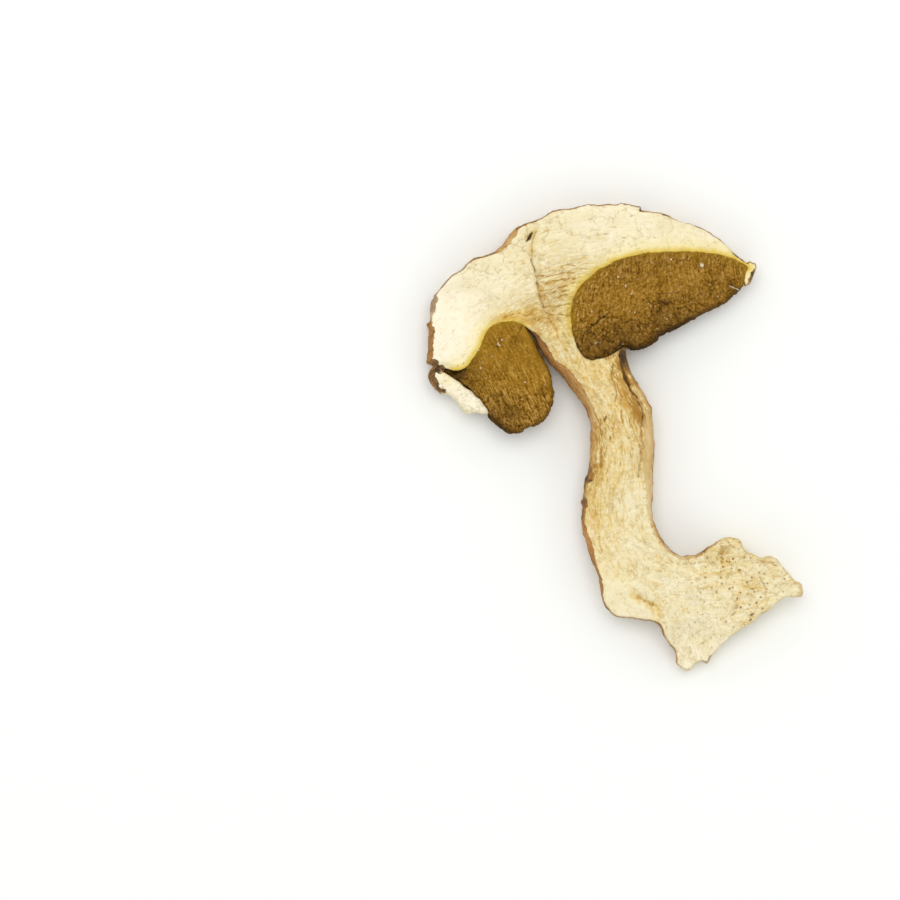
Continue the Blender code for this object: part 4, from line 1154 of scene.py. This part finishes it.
# Darker and browner areas of the tubes, at x, y. Along the lower edge of the right tubes and in the gap by
# the flap they are partly painted shade.
STAIN_REACH = 1.7
TUBE_STAIN = (
    (-5.5, 19, 0.3), (-4, 22, 0.2), (2, 25, 0.32), (8, 26, 0.28), (14, 26, 0.2), (18, 25, 0), (-4, 18, 0.1),
    (2, 20, 0.05), (8, 22, 0.05), (12, 23.5, 0.05), (16, 22.5, 0.55), (14, 21.5, 0.35), (17.8, 22.6, 0.5),
    (10, 19.5, 0.35), (7, 18.4, 0.6), (4, 17.6, 0.2), (1, 16.5, 0.45), (-2.5, 15.2, 0.3), (-4.5, 14.3, 0.6),
    (-3, 13, 0.95), (-1, 13.3, 0.9), (1, 14.6, 1.1), (3.5, 14.6, 0.9), (5.5, 15.2, 0.85), (8, 17, 1.05),
    (12, 19.4, 0.7), (-25.2, 9.9, 2), (-22, 9, 0.4), (-18, 13, 0.08), (-15, 15.5, 0), (-12, 13, 0),
    (-16, 9, 0.1), (-12, 7, 0.1), (-18, 6, 0.3), (-18, 3.2, 0.75), (-15.5, 1.8, 0.6), (-12.5, 2.8, 0.25),
    (-10.2, 5, 0.25), (-11, 10, 0.05),
)  # fmt: skip
TUBE_LINES = (
    # Painted shade in the gap between cap and flap, where the face also dips.
    ("stain", 0.6, 0.5, 2, (-25.6, 9.95), (-24.4, 9.75), (-23.2, 9.9)),
    ("stain", 0.16, 0.3, 1.2, (-4.2, 15.9), (-3.6, 16.7), (-2.9, 17.1), (-2.3, 17.8), (-1.7, 18.1)),
    ("stain", 0.13, 0.25, 0.9, (-1.7, 18.1), (-1.1, 18.7), (-0.9, 19.3), (-0.3, 19.6)),
    ("stain", 0.13, 0.2, 0.8, (-2.3, 17.8), (-2.6, 18.5), (-2.4, 19)),
    ("stain", 0.14, 0.25, 0.7, (-4.7, 15.9), (-3.9, 15.7), (-3.3, 15.5)),
    ("stain", 0.13, 0.2, 0.5, (6.5, 21.6), (8, 21.6), (9.6, 21.8)),
    ("stain", 0.5, 0.1, 0.7, (7, 20.3), (7.8, 20.2)),
    ("stain", 0.15, 0.2, 0.6, (-14.1, 16.6), (-14.5, 15.6), (-14.9, 14.6), (-15.1, 13.8)),
    ("stain", 0.13, 0.2, 0.5, (-16, 14.2), (-15.4, 13.2)),
    ("speck", 0.1, -0.1, 0.8, (17.1, 22.75), (17.9, 22.4), (18.6, 22.1)),
    # This speck is a painted glint on a slight rise.
    ("speck", 0.12, -0.15, 0.5, (-3.2, 14), (-2.8, 14.25), (-2.3, 14.2)),
)
TUBE_DOTS = (
    ("speck", 0.3, -0.2, 1.4, (12.95, 25.85)),
    ("speck", 0.17, -0.1, 0.9, (0.4, 24.1), (8.3, 26.7), (1.5, 22.7), (2.4, 21.5), (-3.6, 18.9),
     (2.9, 18.7)),
    ("speck", 0.14, -0.1, 0.8, (8, 25.6), (8.1, 18.2), (7.7, 17.7), (5, 20), (10, 20.8), (-0.6, 26)),
    ("speck", 0.12, -0.1, 0.7, (9.7, 22.6), (3.4, 23.7), (11.3, 20.3), (3.9, 16.4), (14.2, 22.9),
     (5.6, 26.2)),
    ("speck", 0.17, -0.1, 0.9, (-17.4, 13.8), (-20.6, 13.1), (-17, 14.6), (-13.6, 8.3), (-20.2, 10.4),
     (-17.6, 14)),
    ("speck", 0.12, -0.1, 0.7, (-16.2, 12), (-20.3, 11.5), (-18.5, 12.2), (-15.5, 9.9), (-13, 12.3),
     (-19.4, 8.9)),
)


def build_tubes(name, node, sizes, material, flesh_loop, loop, seam, edge, tube_place, stripes_of):
    """One tube layer inside its loop, which runs along the seam with the flesh and along the free edge."""
    mesh = slab(name, loop, sizes.tube_grid)
    co = positions(mesh)
    xy = co[:, :2].copy()
    uneven = swayed(xy, 0.15, 0.8, 23)
    seam_away = nearest(uneven, seam, False)[:, 0]
    lobe_away = nearest(xy, outline(LOBE_ON_STEM, False), False)[:, 0]
    on_stem = ramp(-seam_away, -9, -7) * ramp(-lobe_away, -2.5, -0.5)
    recess = sizes.tube_recess / MM * (0.25 + 0.75 * ramp(seam_away, 0.3, 2.0)) * (1 - 0.8 * on_stem)
    shaped, level = edge_profile(co, loop, tube_faces(xy, flesh_loop, recess))
    front, back = shares_of_faces(level)

    fields, depth = stained(swayed(xy, 0.12, 0.6, 33), TUBE_LINES, TUBE_DOTS)
    down = tube_place(xy + 0.25 * np.c_[rough(xy, 2.5, 35), rough(xy, 2.5, 36)])
    striped = stripes_of(xy, seam_away)
    stripes = rough(down * (0.22, 1), 0.3, 45, 2)
    grains = rough(xy, 0.4, 47, 3)
    lumps = rough(xy, 1.6, 48, 2)
    valleys = ramp(-np.abs(rough(swayed(xy, 0.5, 1.3, 38) * (1, 1.3), 1.5, 49, 2)), -0.2, 0.0)

    stain = blended(TUBE_STAIN, STAIN_REACH, xy) + fields["stain"] * front
    # How dark the free edge is painted near it: partly browner tube ends, partly painted shade where the
    # edge rolls down.
    edge_away, _, _, _, edge_dark_and_shade = nearest(uneven, outline(edge, False), False).T
    rim_dark_and_shade = edge_dark_and_shade * ramp(-edge_away, -1.1, 0.0)

    raised = sizes.tube_relief / MM
    relief = striped * stripes + (0.65 + stain) * grains + (0.6 + 2.2 * stain) * lumps
    shaped[:, 2] += front * raised * relief
    shaped[:, 2] -= front * (depth * 0.5 + raised * (0.3 + 2.0 * stain) * valleys)
    shaped[:, 2] -= back * (0.08 * stripes + 0.05 * grains)
    move_to(mesh, shaped)
    side = 1 - np.abs(normals(mesh)[:, 2])
    across = up_the_wall(xy, shaped[:, 2])
    pleats = 0.14 * rough(across, 0.4, 83, 2) + 0.2 * rough(across, 1.1, 84, 2)
    shaped += normals(mesh) * (side * pleats)[:, None]

    note(mesh, "stain", stain)
    note(mesh, "seam", np.clip(seam_away, 0, 3))
    # Steep walls get painted shade as well.
    note(mesh, "edge", np.maximum(rim_dark_and_shade, 0.45 * ramp(side, 0.6, 0.95)))
    note(mesh, "valleys", valleys * front)
    note(mesh, "speck", fields["speck"] * front)
    note(mesh, "striped", striped)
    note(mesh, "golden", 0.45 * ramp(-xy[:, 0], 8, 9) * ramp(xy[:, 1], 3, 9))
    note_place(mesh, "tube_place", down, shaped[:, 2])
    finished(name, mesh, shaped, node, material)


def right_stripes(xy, seam_away):
    """The right tubes show as stripes along the cap, and as grains further down."""
    return 0.22 + 0.36 * ramp(-seam_away, -3.5, -0.5)


def left_stripes(xy, seam_away):
    """The left tubes are smooth at the cap and striped at their free ends."""
    return 0.32 + 0.38 * ramp(-xy[:, 1], -13, -7)


def right_tube_place(xy):
    """Down the right tubes and across them; they fan out a little from the cap."""
    x, y = xy.T
    return np.c_[-y, 6 + (x - 6) / (1 + 0.018 * (27 - y))]


def left_tube_place(xy):
    """Down the left tubes and across them."""
    return np.c_[xy @ (0.45, -0.89), xy @ (0.89, 0.45)]


def length_property(name, description, millimetres):
    length = {"default": millimetres * MM, "min": 0, "precision": 5, "subtype": "DISTANCE", "unit": "LENGTH"}
    return FloatProperty(name=name, description=description, **length)


class PORCINI_PG_sizes(bpy.types.PropertyGroup):
    """Sizes of the slice's fine shape and of the view."""

    flesh_grid: length_property("Flesh grid", "Spacing of the flesh's vertices", 0.18)
    tube_grid: length_property("Tube grid", "Spacing of the tubes' vertices", 0.12)
    fibre_relief: length_property("Fibre relief", "How far the fibres and dents stand proud", 0.11)
    tube_relief: length_property("Tube relief", "How far the cut tube walls stand proud", 0.14)
    tube_recess: length_property("Tube recess", "How far the tubes dried below the flesh", 0.3)
    camera_height: length_property("Camera height", "Height of the camera above the cut face", 900)


def colour_property(name, description, *rgb):
    colour = {"default": srgb(*rgb), "min": 0, "max": 1, "subtype": "COLOR"}
    return FloatVectorProperty(name=name, description=description, **colour)


class PORCINI_PG_colours(bpy.types.PropertyGroup):
    """Colours of the slice and of the table."""

    white_flesh: colour_property("White flesh", "The whitest flesh of the cap", 249, 240, 214)
    cream_flesh: colour_property("Cream flesh", "Most of the flesh", 240, 228, 187)
    ochre_flesh: colour_property("Ochre flesh", "Flesh of the stem", 232, 206, 140)
    rust_flesh: colour_property("Rust flesh", "Hollows between the fibres", 202, 161, 80)
    brown_flesh: colour_property("Brown flesh", "Deepest stains", 138, 98, 38)
    cream_seam: colour_property("Seam halo", "Flesh near the tubes", 240, 224, 150)
    yellow_seam: colour_property("Yellow seam", "Flesh next to the tubes", 224, 196, 90)
    wrinkle_ochre: colour_property("Ochre wrinkles", "Fine wrinkles beside the tubes", 192, 146, 70)
    fibre_dark: colour_property("Fine net", "Net of fine lines on the stem", 180, 148, 76)
    gold_stain: colour_property("Golden stains", "Golden patches on the stem", 206, 156, 66)
    rust_stain_and_shade: colour_property("Rust stains", "Streaks on the stem and in folds", 166, 118, 44)
    # Streaks and stains, and the painted shadow below the edge of the right tubes.
    crease_olive: colour_property("Olive creases", "Wandering creases of the flesh", 166, 142, 72)
    grey_wrinkles: colour_property("Grey wrinkles", "Fine wrinkles and dots", 142, 120, 64)
    olive_spots: colour_property("Olive spots", "Spots on the foot", 146, 98, 24)
    # Partly brown staining, partly painted shade in holes and deep folds.
    dark_pits_and_shade: colour_property("Dark pits", "Holes and deep folds", 84, 60, 28)
    tan_rind: colour_property("Tan rind", "Lightest rind on the side of the stem", 206, 174, 116)
    orange_skin: colour_property("Orange skin", "Skin at the top left of the cap", 186, 132, 70)
    brown_skin: colour_property("Brown skin", "Skin at the left of the cap", 138, 104, 64)
    dark_skin: colour_property("Dark skin", "Darkest skin and rind", 74, 58, 38)
    tube_channel: colour_property("Tube channels", "Deepest hollows between the tube walls", 62, 40, 8)
    tube_hollow: colour_property("Tube hollows", "Hollows between the tube walls", 118, 82, 20)
    tube_wall: colour_property("Tube walls", "Most of the tubes", 150, 108, 32)
    tube_light: colour_property("Light tube walls", "Edges of the tube walls", 172, 128, 48)
    tube_pale: colour_property("Pale tube walls", "Highest edges of the tube walls", 208, 166, 92)
    golden_tubes: colour_property("Golden tubes", "Upper part of the left tubes", 168, 124, 18)
    olive_tubes: colour_property("Olive tubes", "Tubes next to the flesh", 160, 122, 30)
    # Browner tubes, and painted shade at the lower edge of the right tubes and by the flap.
    tube_stain_and_shade: colour_property("Stained tubes", "Browner areas of the tubes", 84, 58, 26)
    # Free edges: partly browner tubes, partly painted shade.
    tube_edge_and_shade: colour_property("Tube edge", "Free edge of the tubes", 62, 44, 20)
    # Pale crumbs, and also the colour of the painted glints.
    specks_and_glints: colour_property("Specks", "Pale crumbs on the tubes", 240, 226, 196)
    table: colour_property("Table", "The plain pale table", 246, 247, 244)


class PORCINI_OT_flesh(bpy.types.Operator):
    """Builds the pale flesh of cap, stem and foot"""

    bl_idname = "porcini.flesh"
    bl_label = "Flesh"

    def execute(self, context):
        build_flesh(context.scene.porcini_sizes, context.scene.porcini_colours)
        return {"FINISHED"}


class PORCINI_OT_tubes(bpy.types.Operator):
    """Builds the brown tube layers under both halves of the cap"""

    bl_idname = "porcini.tubes"
    bl_label = "Tube layers"

    def execute(self, context):
        sizes = context.scene.porcini_sizes
        material = tube_material(context.scene.porcini_colours)
        flesh_loop = flesh_outline()
        right_seam = beside(RIGHT_SEAM, SEAM_GAP, 0)
        right = {
            "loop": np.concatenate((right_seam, outline(RIGHT_LOBE, False))),
            "seam": right_seam,
            "edge": RIGHT_LOBE,
            "tube_place": right_tube_place,
            "stripes_of": right_stripes,
        }
        left_seam = beside(LEFT_SEAM, SEAM_GAP, RIND_GAP)
        flap_seam = beside(FLAP_SEAM, FLAP_GAP, 0)
        runs = (left_seam, outline(WEDGE, False), flap_seam, outline(LEFT_LOBE, False))
        left = {
            "loop": np.concatenate(runs),
            "seam": left_seam,
            "edge": LEFT_LOBE,
            "tube_place": left_tube_place,
            "stripes_of": left_stripes,
        }
        build_tubes("right_tubes", "tubes_right", sizes, material, flesh_loop, **right)
        build_tubes("left_tubes", "tubes_left", sizes, material, flesh_loop, **left)
        return {"FINISHED"}


class PORCINI_OT_stage(bpy.types.Operator):
    """Sets the table, the soft light and the camera straight above"""

    bl_idname = "porcini.stage"
    bl_label = "Table, light and camera"

    def execute(self, context):
        scene = context.scene
        sizes = scene.porcini_sizes
        build_table(scene.porcini_colours)
        build_light(scene)
        build_camera(scene, sizes.camera_height)
        scene.view_settings.view_transform = "Standard"
        return {"FINISHED"}


# Half the side of the square table, in metres.
TABLE_HALF = 1.5


def build_table(colours):
    """A plain pale table under the slice."""
    sheet = Sheet("pale_table")
    sheet.feed(sheet.shader.inputs["Base Color"], tuple(colours.table))
    sheet.shader.inputs["Roughness"].default_value = 0.9
    sheet.shader.inputs["Specular IOR Level"].default_value = 0.1
    top = bmesh.new()
    bmesh.ops.create_grid(top, x_segments=1, y_segments=1, size=TABLE_HALF)
    mesh = bpy.data.meshes.new("table")
    top.to_mesh(mesh)
    top.free()
    mesh.materials.append(sheet.material)
    table = bpy.data.objects.new("table", mesh)
    bpy.context.scene.collection.objects.link(table)


# The light of the white room, and each lamp's size and place in metres and its power in watts.
ROOM_LIGHT = 0.63
TOP_SIZE = (0.7, 0.5)
TOP_POWER = 2.6
TOP_SPOT = Vector((0, 0.24, 0.78))
# The ring of lamps low around the table, which makes the soft shadows beside the slice.
SIDE_LAMPS = 6
SIDE_SIZE = (0.5, 0.35)
SIDE_POWER = 0.42
SIDE_DISTANCE = 0.8
SIDE_RISE = np.radians(28)


def build_light(scene):
    """A white room with one soft lamp above and a ring of weaker ones."""
    world = bpy.data.worlds.new("white_room")
    world.use_nodes = True
    background = world.node_tree.nodes["Background"]
    background.inputs["Color"].default_value = (1, 1, 1, 1)
    background.inputs["Strength"].default_value = ROOM_LIGHT
    scene.world = world
    soft_box(scene, "soft_box_above", TOP_SIZE, TOP_POWER, TOP_SPOT)
    for step in range(SIDE_LAMPS):
        turn = 2 * np.pi * step / SIDE_LAMPS
        level = SIDE_DISTANCE * np.cos(SIDE_RISE)
        spot = Vector((level * np.sin(turn), level * np.cos(turn), SIDE_DISTANCE * np.sin(SIDE_RISE)))
        soft_box(scene, f"soft_box_side_{step + 1}", SIDE_SIZE, SIDE_POWER, spot)


def soft_box(scene, name, size, power, spot):
    """A wide lamp that points at the slice."""
    lamp = bpy.data.lights.new(name, "AREA")
    lamp.shape = "RECTANGLE"
    lamp.size, lamp.size_y = size
    lamp.energy = power
    box = bpy.data.objects.new(name, lamp)
    box.location = spot
    box.rotation_euler = (-spot).to_track_quat("-Z", "Y").to_euler()
    scene.collection.objects.link(box)


def build_camera(scene, height):
    """Straight above the photograph's middle, which is left of the slice, and as wide as the photograph."""
    view = bpy.data.cameras.new("above")
    view.sensor_width = 36
    view.lens = view.sensor_width * height / (PHOTO_SIDE * PIXEL * MM)
    view.clip_start = 0.01
    view.clip_end = 20
    camera = bpy.data.objects.new("above", view)
    x = (PHOTO_SIDE / 2 - ZERO_PIXEL[0]) * PIXEL - MIDDLE[0]
    y = (ZERO_PIXEL[1] - PHOTO_SIDE / 2) * PIXEL - MIDDLE[1]
    camera.location = (x * MM, y * MM, height + CUT_FACE * MM)
    scene.collection.objects.link(camera)
    scene.camera = camera


class PORCINI_PT_slice(bpy.types.Panel):
    """Lists the steps that build the slice"""

    bl_idname = "PORCINI_PT_slice"
    bl_label = "Dried porcini slice"
    bl_space_type = "VIEW_3D"
    bl_region_type = "UI"
    bl_category = "Porcini"

    def draw(self, context):
        layout = self.layout
        for operator in OPERATORS:
            layout.operator(operator.bl_idname)
        for group in (context.scene.porcini_sizes, context.scene.porcini_colours):
            box = layout.box()
            for key in group.__annotations__:
                box.prop(group, key)


OPERATORS = (PORCINI_OT_flesh, PORCINI_OT_tubes, PORCINI_OT_stage)
CLASSES = (PORCINI_PG_sizes, PORCINI_PG_colours, *OPERATORS, PORCINI_PT_slice)


def register():
    for made in CLASSES:
        bpy.utils.register_class(made)
    bpy.types.Scene.porcini_sizes = PointerProperty(type=PORCINI_PG_sizes)
    bpy.types.Scene.porcini_colours = PointerProperty(type=PORCINI_PG_colours)


def unregister():
    del bpy.types.Scene.porcini_colours
    del bpy.types.Scene.porcini_sizes
    for made in reversed(CLASSES):
        bpy.utils.unregister_class(made)


def main():
    register()
    bpy.ops.porcini.flesh()
    bpy.ops.porcini.tubes()
    bpy.ops.porcini.stage()


if __name__ == "__main__":
    main()
